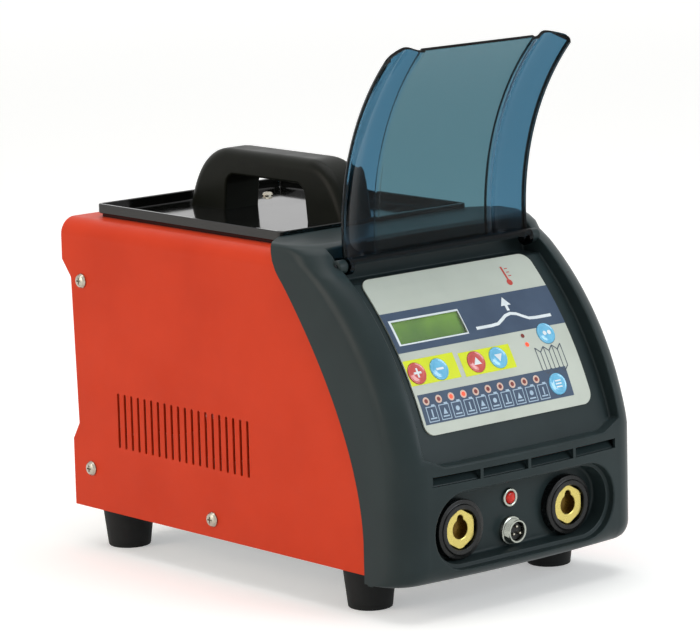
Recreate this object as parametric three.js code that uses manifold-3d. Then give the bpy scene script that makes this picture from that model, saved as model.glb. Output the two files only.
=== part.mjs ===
// Dent pulling spot welder in millimetres: +Z up, the control panel looks towards -Y.
// Steel case with a moulded front, a tilting visor, two weld sockets and a welding transformer inside.

import * as THREE from 'three';
import { mergeVertices } from 'three/addons/utils/BufferGeometryUtils.js';
import Module from 'manifold-3d';

const wasm = await Module();
wasm.setup();

// Driving dimensions

// Shared clearances and stock
const gap = 0.3;
const overrun = 60;
const sheet = 1.5;
const mouldWall = 3;

// Case
const footHeight = 28;
const coverHeight = 203.5;
const bendRadius = 12;
const lapStep = 1.8;
const lapDepth = 6;
const coverRearDepth = 350.5;
const rearNotchDepth = 7.3;
const rearNotchLean = 3.5;
const rearShoulderReach = 5.8;
const rearNotchBottom = 47;
const rearNotchTopInset = 29;
const rearNotchSlope = 12;
const slotCount = 20;
const slotWidth = 2.4;
const slotHeight = 38.7;
const slotFirstDepth = 158.2;
const slotRearInset = 52.75;
const slotBottom = 47.4;
const caseScrewUpperInset = 16;
const caseScrewUpperHeight = 161.1;
const caseScrewLowerInset = 20.2;
const caseScrewLowerHeight = 28.4;
const caseScrewMidDepth = 197.6;
const caseScrewMidHeight = 12.7;

// Front moulding
const bezelWidth = 212;
const bezelDepth = 142.2;
const bezelDrop = 5;
const bezelRise = 6;
const chinHeight = 81;
const bottomRadius = 14;
const cornerRadius = 20;
const frontBow = 4;
const topEdgeRadius = 5;
const topRun = 43.2;
const rimRadius = 200;
const shoulderRun = 27;
const shoulderRise = 17.5;
const lipCornerWidth = 20;
const seamFootDepth = 41.5;
const lipCornerRun = 15.7;
const airSlotInset = 5.7;
const airSlotHeight = 6.5;
const airSlotDrop = 8.5;
const airSlotRib = 2.5;
const airSlotWindows = 4;

// Outline shares: the shoulder above the rim, the seam, the handle's arch, a screw's head and the rocker
const shoulderShares = [[0, 0], [0.37, 0.37], [0.52, 0.69], [0.78, 0.9], [1, 1]];
const seamStartShares = [0, 0.108];
const seamLiftShares = [0.024, 0.403];
const seamLeanShares = [0.506, 0.708];
const seamShoulderShares = [0.876, 0.902];
const seamTurnShares = [1, 0.953];
const slopedWallShare = 1.3;
const curlShares = [0.06, 0.47];
const archRiseShare = 0.55;
const archCrownShare = 0.5;
const gripCornerShares = [0.5, 1.5];
const screwHeadShares = [[1, 0.3], [0.8, 0.8], [0.45, 1]];
const crossArmShare = 0.22;
const crossWidthShare = 0.1;
const crossDepthShare = 0.45;
const rockerRootShares = [0.4, 0.6];

// Layout shares of the control film: across against its width from the middle, down against its length from the top
const windowPlaceShares = [-0.266, 0.3775];
const windowSizeShares = [0.392, 0.143];
const keyPlaceShares = [
  [-0.444, 0.633], [-0.314, 0.633], [-0.0947, 0.633], [0.0367, 0.633], [0.3627, 0.5432], [0.3233, 0.8527],
];
const keyDiameterShare = 0.1;
const lampRowShares = [-0.4487, 0.8012];
const lampPitchShare = 0.07287;
const modeLampShares = [0.2267, 0.5327];
const modeLampPitchShare = 0.0567;

// Shares of the bay between the transformer's front and the fan, and of the transformer's windows
const coreStackShare = 0.378;
const windingReachShare = 0.097;
const sinkStartShare = 0.557;
const sinkLengthShare = 0.346;
const moduleLengthShare = 0.184;
const powerBoardStartShare = 0.027;
const powerBoardLengthShare = 0.703;
const primaryShare = 0.6;

// Control panel
const panelSideInset = 31;
const panelFootRise = 18.3;
const panelRadius = 240;
const panelLean = 1.87;
const panelSetback = 3.5;
const panelTopDrop = 23.7;
const panelCornerRadius = 8;
const filmThickness = 1;
const recessMargin = 13;
const scoopDrop = 3;
const scoopCornerRise = 7;
const scoopCornerWidth = 16;
const keyProud = 0.5;
const keyThickness = 1.2;
const keyStemDiameter = 4;
const keyTravel = 0.5;
const lampCount = 10;
const lampWidth = 2.6;
const lampSlotMargin = 1;
const boardSideReach = 3;
const boardEndInset = 5.35;
const boardThickness = 1.6;
const boardSpace = 6.7;
const boardPostDiameter = 6;
const boardPostInset = 5;
const switchWidth = 6;
const switchHeight = 3.5;
const displaySideMargin = 2.6;
const displayEndMargin = 2.8;

// Visor
const visorEndPlay = 0.5;
const visorThickness = 2.5;
const visorRadius = 170;
const visorRootAngle = -5;
const visorTipAngle = 44.5;
const visorStandoff = 2.5;
const visorCentreRise = 19;
const visorMiddleRaise = 2.9;
const visorBandRaise = 5.5;
const visorBandWidth = 33.5;
const visorRiserRun = 7.5;
const visorShoulderRun = 16;
const visorShoulderDrop = 7;
const visorEdgeDepth = 3;
const visorWebSetback = 2;
const visorEarWidth = 3.5;
const visorEarRadius = 6;
const hingeSetback = 5;
const hingeDrop = 13.5;
const hingePinDiameter = 4;
const hingePinHeadDiameter = 6.2;
const hingePinHeadLength = 1.6;
const hingeBossDiameter = 9;
const hingeBossLength = 5.5;
const troughDrop = 12;
const lipReach = 10.7;

// Socket recess, weld sockets, pilot lamp and gun connector
const recessEndInset = 25.3;
const recessSideMargin = 6.1;
const recessRise = 33.7;
const recessFloorDepth = 16.5;
const socketEndInset = 31.9;
const socketDrop = 2.5;
const insulatorWall = 7;
const insulatorProud = 7.5;
const insulatorNeckWall = 2.5;
const insulatorNeckLength = 12;
const brassDiameter = 26;
const brassSetback = 2;
const brassLength = 30;
const brassBore = 13;
const brassBoreDepth = 22;
const keywayWidth = 5;
const keywayHeight = 2.5;
const studDiameter = 12;
const studLength = 24;
const pilotRise = 43.5;
const pilotRingDiameter = 12.8;
const pilotNeckDiameter = 10;
const pilotProud = 2;
const pilotNeckLength = 10;
const pilotLensDiameter = 8;
const pilotLensSetback = 0.6;
const connectorRise = 21.6;
const connectorFlangeDiameter = 19;
const connectorFlangeThickness = 2.4;
const connectorShellDiameter = 16;
const connectorShellBore = 12.6;
const connectorProud = 8.2;
const connectorNeckLength = 8;
const connectorInsertSetback = 3;
const connectorPinDiameter = 2;
const connectorPinLength = 2.5;
const connectorPinCircle = 6.4;
const connectorPinCount = 3;

// Tray and handle
const traySideInset = 20.2;
const trayRearInset = 9.5;
const trayHeight = 9;
const trayWall = 2.5;
const trayFloor = 2;
const trayCornerRadius = 4;
const handleForward = 2.25;
const handleWidth = 31.5;
const handleEndInset = 15.75;
const handleHeight = 43;
const handleLegLength = 39.5;
const handleGripThickness = 15.5;
const handleShoulderRun = 40;
const handleCornerRadius = 6;
const handleScrewInset = 17.5;
const handleScrewDiameter = 6;
const handleScrewReach = 18;
const handleScrewHeadDiameter = 11;
const handleScrewHeadHeight = 3.5;
const trayScrewSideInset = 36;
const trayScrewEndInset = 10.5;
const trayScrewDiameter = 4;
const trayScrewLength = 7;
const trayScrewHeadDiameter = 8;
const trayScrewHeadHeight = 2.6;

// Case screws and feet
const caseScrewDiameter = 5;
const caseScrewLength = 8;
const caseScrewHeadDiameter = 10.5;
const caseScrewHeadHeight = 3;
const footSideInset = 24.6;
const footFrontDepth = 64.1;
const footRearInset = 30.8;
const footTopDiameter = 35.5;
const footBottomDiameter = 29.6;
const footCup = 3;
const footCupDiameter = 10;
const footStudDiameter = 6;
const footStudLength = 6;

// Floor and rear wall
const panFrontDepth = 27.5;
const panFlangeHeight = 36;
const panFlangeRearInset = 22;
const rearWallInset = 11.5;
const rearFlangeLength = 18;
const rearWallHeadroom = 3;

// Fan
const fanSize = 119;
const fanThickness = 25;
const fanAcross = 18;
const fanRaise = 2.25;
const fanRim = 3.5;
const fanHubDiameter = 40;
const fanHubLength = 16;
const fanBladeCount = 7;
const fanTipGap = 3;
const fanBladeThickness = 2;
const fanBladeWidth = 18;
const fanBladePitch = 38;
const fanShaftDiameter = 4;
const fanSpiderThickness = 4;
const fanSpiderWidth = 7;
const fanMotorDiameter = 36;
const guardWire = 2;
const guardRings = 4;
const guardInnerDiameter = 28;

// Mains switch and cable gland
const switchSideInset = 30.2;
const switchTopInset = 51.5;
const switchFlangeWidth = 24;
const switchFlangeHeight = 32;
const switchFlangeThickness = 2;
const switchBodyWidth = 20;
const switchBodyHeight = 28;
const switchBodyDepth = 22;
const switchCavityDepth = 17;
const switchWall = 2;
const rockerLength = 19.4;
const rockerDepth = 9;
const rockerTilt = 10;
const rockerTrunnionDiameter = 3;
const rockerTrunnionLength = 1;
const glandSideInset = 30.2;
const glandRise = 40;
const glandHexWidth = 24;
const glandHexLength = 6;
const glandDomeLength = 10;
const glandDomeDiameter = 19;
const glandBore = 9;
const glandThreadDiameter = 16;
const glandThreadLength = 11;
const glandNutWidth = 22;
const glandNutLength = 5;

// Transformer and copper bars
const coreWidth = 120;
const coreHeight = 100;
const coreDepth = 129;
const coreLeg = 20;
const windingHeight = 60;
const secondarySlit = 8;
const tabWidth = 22;
const tabReach = 14;
const barWidth = 22;
const barThickness = 4;
const barRise = 2;

// Power switch and power board
const sinkWidth = 104;
const sinkHeight = 34;
const sinkBase = 6;
const sinkFins = 9;
const sinkFin = 2.5;
const moduleWidth = 92;
const moduleHeight = 28;
const terminalSize = 12;
const terminalHeight = 4;
const powerBoardHeight = 96;
const powerBoardStandoff = 18;
const powerBoardRise = 8;
const standoffDiameter = 7;
const componentDepth = 13;

// Worked-out sizes

const turn = Math.PI * 2;
const few = 4;
const sparse = 8;
const coarse = 12;
const medium = 20;
const smooth = 28;

const bezelHalf = bezelWidth / 2;
const coverHalf = bezelHalf - lapStep;
const coverInnerHalf = coverHalf - sheet;
const coverTop = footHeight + coverHeight;
const floorTop = footHeight + sheet;
const slotPitch = (coverRearDepth - slotRearInset - slotFirstDepth) / (slotCount - 1);
const rearNotchHeight = coverHeight - rearNotchBottom - rearNotchTopInset;

const bezelBottom = footHeight - bezelDrop;
const bezelTop = coverTop + bezelRise;
const chinTop = bezelBottom + chinHeight;
const rimTop = bezelTop - shoulderRise;
const rimRise = rimTop - chinTop;
const rimRun = bezelDepth - topRun - shoulderRun;
const seamTopDepth = bezelDepth - lipCornerRun;

const panelWidth = bezelWidth - 2 * panelSideInset;
const panelTilt = Math.atan2(rimRun, rimRise) + THREE.MathUtils.degToRad(panelLean);
const recessWidth = panelWidth + 2 * recessMargin;
const recessHalf = recessWidth / 2;
const recessBottom = chinTop - scoopDrop;
const panelTopHeight = bezelTop - panelTopDrop;
const panelChord = (panelTopHeight - recessBottom - panelFootRise) / Math.cos(panelTilt);
const panelHalfAngle = Math.asin(panelChord / (2 * panelRadius));
const panelLength = 2 * panelRadius * panelHalfAngle;
const panelTopDepth = rimRun + panelSetback;
const airSlotWidth = recessWidth - 2 * airSlotInset;
const boardWidth = panelWidth + 2 * boardSideReach;
const boardHeight = panelLength - 2 * boardEndInset;
const boardDepth = boardSpace + panelRadius * (1 - Math.cos(panelHalfAngle));

const [windowAcross, windowDown] = [windowPlaceShares[0] * panelWidth, windowPlaceShares[1] * panelLength];
const [windowWidth, windowHeight] = [windowSizeShares[0] * panelWidth, windowSizeShares[1] * panelLength];
const displayWidth = windowWidth + 2 * displaySideMargin;
const displayHeight = windowHeight + 2 * displayEndMargin;
const [lampFirstAcross, lampRowDown] = [lampRowShares[0] * panelWidth, lampRowShares[1] * panelLength];
const lampPitch = lampPitchShare * panelWidth;
const keyDiameter = keyDiameterShare * panelWidth;
const [modeLampAcross, modeLampFirstDown] = [modeLampShares[0] * panelWidth, modeLampShares[1] * panelLength];
const modeLampPitch = modeLampPitchShare * panelLength;

const hingeDepth = panelTopDepth + hingeSetback;
const hingeHeight = bezelTop - hingeDrop;
const lipDepth = hingeDepth + lipReach;
const pinClear = hingePinDiameter / 2 + gap;
const visorWidth = recessWidth - 2 * (hingeBossLength + visorEndPlay);

const insulatorDiameter = brassDiameter + 2 * insulatorWall;
const insulatorNeckDiameter = brassDiameter + 2 * insulatorNeckWall;
const recessLength = bezelWidth - 2 * recessEndInset;
const recessHeight = insulatorDiameter + 2 * recessSideMargin;
const recessCentreHeight = bezelBottom + recessRise;
const socketSpread = recessLength / 2 - socketEndInset;

const trayDepthStart = bezelDepth + gap;
const trayLength = coverRearDepth - trayRearInset - trayDepthStart;
const trayWidth = 2 * (coverHalf - traySideInset);
const trayBottom = coverTop;
const trayTop = trayBottom + trayHeight;
const handleCentreDepth = trayDepthStart + trayLength / 2 - handleForward;
const handleLength = trayLength - 2 * handleEndInset;
const handleGripLength = handleLength - 2 * handleLegLength;
const handleScrewSpread = handleLength - 2 * handleScrewInset;
const trayScrewAcross = trayWidth / 2 - trayScrewSideInset;
const trayScrewSpreadY = handleLength - 2 * trayScrewEndInset;
const footSpread = bezelWidth - 2 * footSideInset;
const footRearDepth = coverRearDepth - footRearInset;

const rearWallFront = coverRearDepth - rearWallInset;
const rearWallBack = rearWallFront + sheet;
const fanFront = rearWallFront - fanThickness;
const fanCentreHeight = footHeight + coverHeight / 2 + fanRaise;
const fanBore = fanSize - 2 * fanRim;
const fanBladeDiameter = fanBore - 2 * fanTipGap;
const guardOuterDiameter = fanBore;
const switchAcross = switchSideInset - coverHalf;
const switchCentreHeight = coverTop - switchTopInset;
const glandAcross = glandSideInset - coverHalf;
const glandHeight = footHeight + glandRise;

const bayLength = fanFront - coreDepth;
const coreStack = coreStackShare * bayLength;
const windingReach = windingReachShare * bayLength;
const sinkDepth = coreDepth + sinkStartShare * bayLength;
const sinkLength = sinkLengthShare * bayLength;
const moduleLength = moduleLengthShare * bayLength;
const powerBoardDepth = coreDepth + powerBoardStartShare * bayLength;
const powerBoardLength = powerBoardLengthShare * bayLength;

const caseScrewPlaces = [
  [coverRearDepth - caseScrewUpperInset, footHeight + caseScrewUpperHeight],
  [coverRearDepth - caseScrewLowerInset, footHeight + caseScrewLowerHeight],
  [caseScrewMidDepth, footHeight + caseScrewMidHeight],
];

// Solids: joining, cutting and the basic shapes

function toSolid(shape) {
  if (shape instanceof wasm.Manifold) return shape;
  const bare = shape.clone();
  bare.deleteAttribute('normal');
  bare.deleteAttribute('uv');
  const merged = mergeVertices(bare);
  return new wasm.Manifold(new wasm.Mesh({
    numProp: 3,
    vertProperties: new Float32Array(merged.attributes.position.array),
    triVerts: new Uint32Array(merged.index.array),
  }));
}

function toGeometry(shape) {
  if (shape instanceof THREE.BufferGeometry) return shape;
  const mesh = shape.getMesh();
  const geometry = new THREE.BufferGeometry();
  geometry.setAttribute('position', new THREE.BufferAttribute(new Float32Array(mesh.vertProperties), 3));
  geometry.setIndex(new THREE.BufferAttribute(new Uint32Array(mesh.triVerts), 1));
  geometry.computeVertexNormals();
  return geometry;
}

function join(first, ...others) {
  return others.reduce((sum, other) => sum.add(toSolid(other)), toSolid(first));
}

function cut(first, ...others) {
  return others.reduce((rest, other) => rest.subtract(toSolid(other)), toSolid(first));
}

function common(first, second) {
  return toSolid(first).intersect(toSolid(second));
}

function box(x0, x1, y0, y1, z0, z1) {
  const geometry = new THREE.BoxGeometry(x1 - x0, y1 - y0, z1 - z0);
  return geometry.translate((x0 + x1) / 2, (y0 + y1) / 2, (z0 + z1) / 2);
}

const along = {
  x: new THREE.Matrix4().makeBasis(
    new THREE.Vector3(0, 1, 0), new THREE.Vector3(0, 0, 1), new THREE.Vector3(1, 0, 0)),
  y: new THREE.Matrix4().makeBasis(
    new THREE.Vector3(1, 0, 0), new THREE.Vector3(0, 0, 1), new THREE.Vector3(0, -1, 0)),
  z: new THREE.Matrix4(),
};

// Outlines are (y, z) for a prism along x, (x, z) along y and (x, y) along z.
function prism(outline, axis, from, to, curveSegments = coarse) {
  const shape = outline instanceof THREE.Shape
    ? outline
    : new THREE.Shape(outline.map(([u, v]) => new THREE.Vector2(u, v)));
  const options = { depth: to - from, bevelEnabled: false, steps: 1, curveSegments };
  const geometry = new THREE.ExtrudeGeometry(shape, options);
  const start = axis === 'y' ? -to : from;
  return geometry.translate(0, 0, start).applyMatrix4(along[axis]);
}

// A round bar along an axis, through the point (u, v) of the plane square to it.
function rod(diameter, axis, from, to, u = 0, v = 0, segments = medium) {
  const circle = [];
  for (let i = 0; i < segments; i++) {
    const angle = turn * (i + 0.5) / segments;
    circle.push([u + diameter / 2 * Math.cos(angle), v + diameter / 2 * Math.sin(angle)]);
  }
  return prism(circle, axis, from, to);
}

// A round body turned about its own axis, laid along x, y or z; the profile is (radius, station).
function turned(profile, axis, origin, segments = medium) {
  const points = profile.map(([r, s]) => new THREE.Vector2(r, s));
  const geometry = new THREE.LatheGeometry(points, segments);
  const lay = {
    x: new THREE.Matrix4().makeBasis(
      new THREE.Vector3(0, 1, 0), new THREE.Vector3(1, 0, 0), new THREE.Vector3(0, 0, -1)),
    y: new THREE.Matrix4(),
    z: new THREE.Matrix4().makeBasis(
      new THREE.Vector3(1, 0, 0), new THREE.Vector3(0, 0, 1), new THREE.Vector3(0, -1, 0)),
  };
  return geometry.applyMatrix4(lay[axis]).translate(...origin);
}

// A closed skin over rings of equal point counts, each ring running counter-clockwise seen from the last one.
function loft(rings, plane) {
  const count = rings[0].length;
  const positions = rings.flat(2);
  const index = [];
  for (let i = 0; i + 1 < rings.length; i++) {
    for (let j = 0; j < count; j++) {
      const next = (j + 1) % count;
      const a = i * count + j;
      const b = i * count + next;
      index.push(a, b, b + count, a, b + count, a + count);
    }
  }
  const flat = (ring) => ring.map((point) => new THREE.Vector2(point[plane[0]], point[plane[1]]));
  const last = (rings.length - 1) * count;
  const ends = [[rings[0], 0, true], [rings[rings.length - 1], last, false]];
  for (const [ring, start, isFirst] of ends) {
    for (const [a, b, c] of THREE.ShapeUtils.triangulateShape(flat(ring), [])) {
      if (isFirst) index.push(start + a, start + c, start + b);
      else index.push(start + a, start + b, start + c);
    }
  }
  const geometry = new THREE.BufferGeometry();
  geometry.setAttribute('position', new THREE.Float32BufferAttribute(positions, 3));
  geometry.setIndex(index);
  return geometry;
}

function roundedRectangle(x0, x1, y0, y1, radius) {
  const shape = new THREE.Shape();
  shape.moveTo(x0 + radius, y0);
  shape.lineTo(x1 - radius, y0);
  shape.absarc(x1 - radius, y0 + radius, radius, -turn / 4, 0, false);
  shape.lineTo(x1, y1 - radius);
  shape.absarc(x1 - radius, y1 - radius, radius, 0, turn / 4, false);
  shape.lineTo(x0 + radius, y1);
  shape.absarc(x0 + radius, y1 - radius, radius, turn / 4, turn / 2, false);
  shape.lineTo(x0, y0 + radius);
  shape.absarc(x0 + radius, y0 + radius, radius, turn / 2, turn * 3 / 4, false);
  return shape;
}

function hexagon(width, u, v) {
  const radius = width / Math.sqrt(3);
  return Array.from({ length: 6 }, (_, i) => [
    u + radius * Math.cos(turn * i / 6), v + radius * Math.sin(turn * i / 6)]);
}

// Pieces

const welder = new THREE.Group();
welder.name = 'dent_pulling_spot_welder';

function finish(colour, roughness, metalness = 0) {
  return { color: new THREE.Color(colour), roughness, metalness };
}

const redPaint = finish('#c8492f', 0.45);
const greyMould = finish('#3b4447', 0.6);
const blackMould = finish('#1c1f1e', 0.55);
const trayGloss = finish('#141615', 0.25);
const smokeBlue = finish('#3f6f86', 0.15);
const film = finish('#b4c8be', 0.5);
const clearFilm = finish('#9fb4a8', 0.1);
const displayGreen = finish('#6f9a3c', 0.4);
const boardGreen = finish('#2d5a3a', 0.6);
const keyRed = finish('#c8402f', 0.5);
const keyBlue = finish('#5ab9e1', 0.5);
const lensRed = finish('#d0302a', 0.2);
const chrome = finish('#c9cdb8', 0.2, 1);
const steel = finish('#9aa0a3', 0.4, 0.9);
const zincSteel = finish('#a9adad', 0.45, 0.8);
const brass = finish('#e1c86e', 0.3, 1);
const copper = finish('#b87347', 0.35, 1);
const enamelWire = finish('#8a4a2a', 0.5, 0.3);
const rubber = finish('#22262a', 0.85);
const aluminium = finish('#b9bdc0', 0.4, 0.9);

function add(name, shape, look, parent = welder) {
  const mesh = new THREE.Mesh(toGeometry(shape), new THREE.MeshStandardMaterial(look));
  mesh.name = name;
  parent.add(mesh);
  return mesh;
}

// Seam between moulding and cover: depth against height along the side, from the foot to the top

const seamPoint = ([depthShare, heightShare]) => new THREE.Vector2(
  seamFootDepth + depthShare * (seamTopDepth - seamFootDepth), footHeight + heightShare * coverHeight);

function seamLine(shift) {
  const [start, lift, lean, shoulder, corner] = [
    seamStartShares, seamLiftShares, seamLeanShares, seamShoulderShares, seamTurnShares].map(seamPoint);
  const end = new THREE.Vector2(seamTopDepth, coverTop + gap);
  const rise = new THREE.CubicBezierCurve(start, lift, lean, shoulder).getPoints(coarse);
  const over = new THREE.QuadraticBezierCurve(shoulder, corner, end).getPoints(few).slice(1);
  return [...rise, ...over].map((point) => [point.x + shift, point.y]);
}

// Front moulding: a stack of plan sections, each set back by the side profile at its height

const rimChord = Math.hypot(rimRun, rimRise);
const rimReach = Math.sqrt(rimRadius ** 2 - (rimChord / 2) ** 2);
const rimCentre = [
  rimRun / 2 + rimReach * rimRise / rimChord,
  chinTop + rimRise / 2 - rimReach * rimRun / rimChord,
];

function frontDepth(height) {
  const cornerHeight = bezelBottom + bottomRadius;
  if (height < cornerHeight) {
    return bottomRadius - Math.sqrt(Math.max(0, bottomRadius ** 2 - (cornerHeight - height) ** 2));
  }
  if (height <= chinTop) return 0;
  if (height <= rimTop) {
    return Math.max(0, rimCentre[0] - Math.sqrt(rimRadius ** 2 - (height - rimCentre[1]) ** 2));
  }
  const share = (height - rimTop) / (bezelTop - rimTop);
  const upper = Math.max(1, shoulderShares.findIndex(([, rise]) => rise >= share - 1e-6));
  const [run0, rise0] = shoulderShares[upper - 1];
  const [run1, rise1] = shoulderShares[upper];
  return rimRun + shoulderRun * (run0 + (run1 - run0) * (share - rise0) / (rise1 - rise0));
}

function halfWidthAt(height) {
  const above = Math.max(0, height - (bezelTop - topEdgeRadius));
  return bezelHalf - topEdgeRadius + Math.sqrt(Math.max(0, topEdgeRadius ** 2 - above ** 2));
}

function planSection(height, inset, rearDepth) {
  const half = halfWidthAt(height) - inset;
  const radius = cornerRadius - inset;
  const straight = half - radius;
  const front = frontDepth(height) + inset * slopedWallShare;
  const points = [];
  const bowSteps = few + 2;
  for (let i = 0; i <= bowSteps; i++) {
    const across = -1 + 2 * i / bowSteps;
    points.push([across * straight, front - frontBow * (1 - across ** 2), height]);
  }
  const arcSteps = few + 1;
  for (let i = 1; i <= arcSteps; i++) {
    const angle = turn / 4 * i / arcSteps;
    points.push([straight + radius * Math.sin(angle), front + radius * (1 - Math.cos(angle)), height]);
  }
  points.push([half, rearDepth, height], [-half, rearDepth, height]);
  for (let i = arcSteps; i >= 1; i--) {
    const angle = turn / 4 * i / arcSteps;
    points.push([-straight - radius * Math.sin(angle), front + radius * (1 - Math.cos(angle)), height]);
  }
  return points;
}

function frontBlock(inset, rearDepth) {
  const heights = [];
  for (let i = 0; i <= few; i++) {
    heights.push(bezelBottom + bottomRadius * (1 - Math.cos(turn / 4 * i / few)));
  }
  for (let i = 0; i <= sparse; i++) heights.push(chinTop + rimRise * i / sparse);
  for (const [, rise] of shoulderShares.slice(1)) heights.push(rimTop + rise * (bezelTop - rimTop));
  const low = bezelBottom + inset;
  const high = bezelTop - inset;
  const kept = [low, ...heights.filter((height) => height > low + gap && height < high - gap), high];
  return loft(kept.map((height) => planSection(height, inset, rearDepth)), [0, 1]);
}

// Control panel geometry: an arc about the x axis, its top edge at a given depth and height

const panelMidAngle = turn / 2 - panelTilt;
const panelTopAngle = panelMidAngle - panelHalfAngle;
const panelCentre = [
  panelTopDepth - panelRadius * Math.cos(panelTopAngle),
  panelTopHeight - panelRadius * Math.sin(panelTopAngle),
];

function panelPoint(down, inward) {
  const angle = panelTopAngle + down / panelRadius;
  return [
    panelCentre[0] + (panelRadius - inward) * Math.cos(angle),
    panelCentre[1] + (panelRadius - inward) * Math.sin(angle),
  ];
}

function panelArc(down0, down1, inward, steps = coarse) {
  return Array.from({ length: steps + 1 }, (_, i) => panelPoint(down0 + (down1 - down0) * i / steps, inward));
}

// A frame on the panel's face: u across, v up the slope, w out of the face.
function panelFrame(across, down) {
  const angle = panelTopAngle + down / panelRadius;
  const out = new THREE.Vector3(0, Math.cos(angle), Math.sin(angle));
  const acrossAxis = new THREE.Vector3(1, 0, 0);
  const up = out.clone().cross(acrossAxis);
  const [y, z] = panelPoint(down, 0);
  return new THREE.Matrix4().makeBasis(acrossAxis, up, out).setPosition(across, y, z);
}

const onPanel = (geometry, across, down) => geometry.clone().applyMatrix4(panelFrame(across, down));

// How far the arc has dropped below the tangent plane at the panel's middle
const panelDrop = (down) => {
  const angle = (down - panelLength / 2) / panelRadius;
  return panelRadius * (1 - Math.cos(angle));
};
const displayFaceDepth = panelDrop(windowDown - displayHeight / 2) + filmThickness + gap;
const alongTangent = (down) => -panelRadius * Math.sin((down - panelLength / 2) / panelRadius);

const keys = [
  ['key_plus', keyRed], ['key_minus', keyBlue], ['key_up', keyRed],
  ['key_down', keyBlue], ['key_mode', keyBlue], ['key_program', keyBlue],
].map(([name, look], i) => {
  const [acrossShare, downShare] = keyPlaceShares[i];
  return [name, acrossShare * panelWidth, downShare * panelLength, look];
});

const floorInward = filmThickness + gap;
const lampRowWidth = lampPitch * (lampCount - 1);
const lampRowAcross = lampFirstAcross + lampRowWidth / 2;

// The space of the panel recess; grown by a wall it gives the mould's inner face
function panelRecess(grow) {
  const inward = floorInward + grow;
  const troughFloor = hingeHeight - troughDrop - grow;
  const bottom = recessBottom - grow;
  const radius = panelRadius - inward;
  const bottomAngle = turn / 2 - Math.asin((bottom - panelCentre[1]) / radius);
  const topAngle = turn / 2 - Math.asin((troughFloor - panelCentre[1]) / radius);
  const steps = coarse;
  const floorLine = Array.from({ length: steps + 1 }, (_, i) => {
    const angle = bottomAngle + (topAngle - bottomAngle) * i / steps;
    return [panelCentre[0] + radius * Math.cos(angle), panelCentre[1] + radius * Math.sin(angle)];
  });
  const side = [
    ...floorLine,
    [lipDepth + grow, troughFloor],
    [lipDepth + grow, bezelTop + overrun],
    [-overrun, bezelTop + overrun],
    [-overrun, bottom],
  ];
  const half = recessHalf + grow;
  const face = [
    [-half, bezelTop + overrun],
    [-half, bottom + scoopCornerRise],
    [-half + scoopCornerWidth, bottom],
    [half - scoopCornerWidth, bottom],
    [half, bottom + scoopCornerRise],
    [half, bezelTop + overrun],
  ];
  return common(prism(side, 'x', -half, half), prism(face, 'y', -overrun, bezelDepth + overrun));
}

function socketRecess(grow) {
  const half = recessLength / 2 + grow;
  const halfHeight = recessHeight / 2 + grow;
  const outline = roundedRectangle(-half, half, recessCentreHeight - halfHeight, recessCentreHeight + halfHeight,
    halfHeight - gap);
  return prism(outline, 'y', -overrun, recessFloorDepth + grow, sparse);
}

function airSlots() {
  const window = (airSlotWidth - (airSlotWindows - 1) * airSlotRib) / airSlotWindows;
  const top = recessBottom - airSlotDrop + airSlotHeight / 2;
  const wallDepth = frontBow + 2 * mouldWall;
  return Array.from({ length: airSlotWindows }, (_, i) => {
    const left = -airSlotWidth / 2 + i * (window + airSlotRib);
    return box(left, left + window, -overrun, wallDepth, top - airSlotHeight, top);
  });
}

function boardPosts(diameter, from) {
  const across = boardWidth / 2 - boardPostInset;
  const up = boardHeight / 2 - boardPostInset;
  const drop = panelRadius - Math.sqrt(panelRadius ** 2 - up ** 2);
  const to = -drop - floorInward - mouldWall / 2;
  const posts = [];
  for (const u of [-across, across]) {
    for (const v of [-up, up]) {
      posts.push(onPanel(rod(diameter, 'z', from, to, u, v, sparse), 0, panelLength / 2));
    }
  }
  return posts;
}

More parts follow.
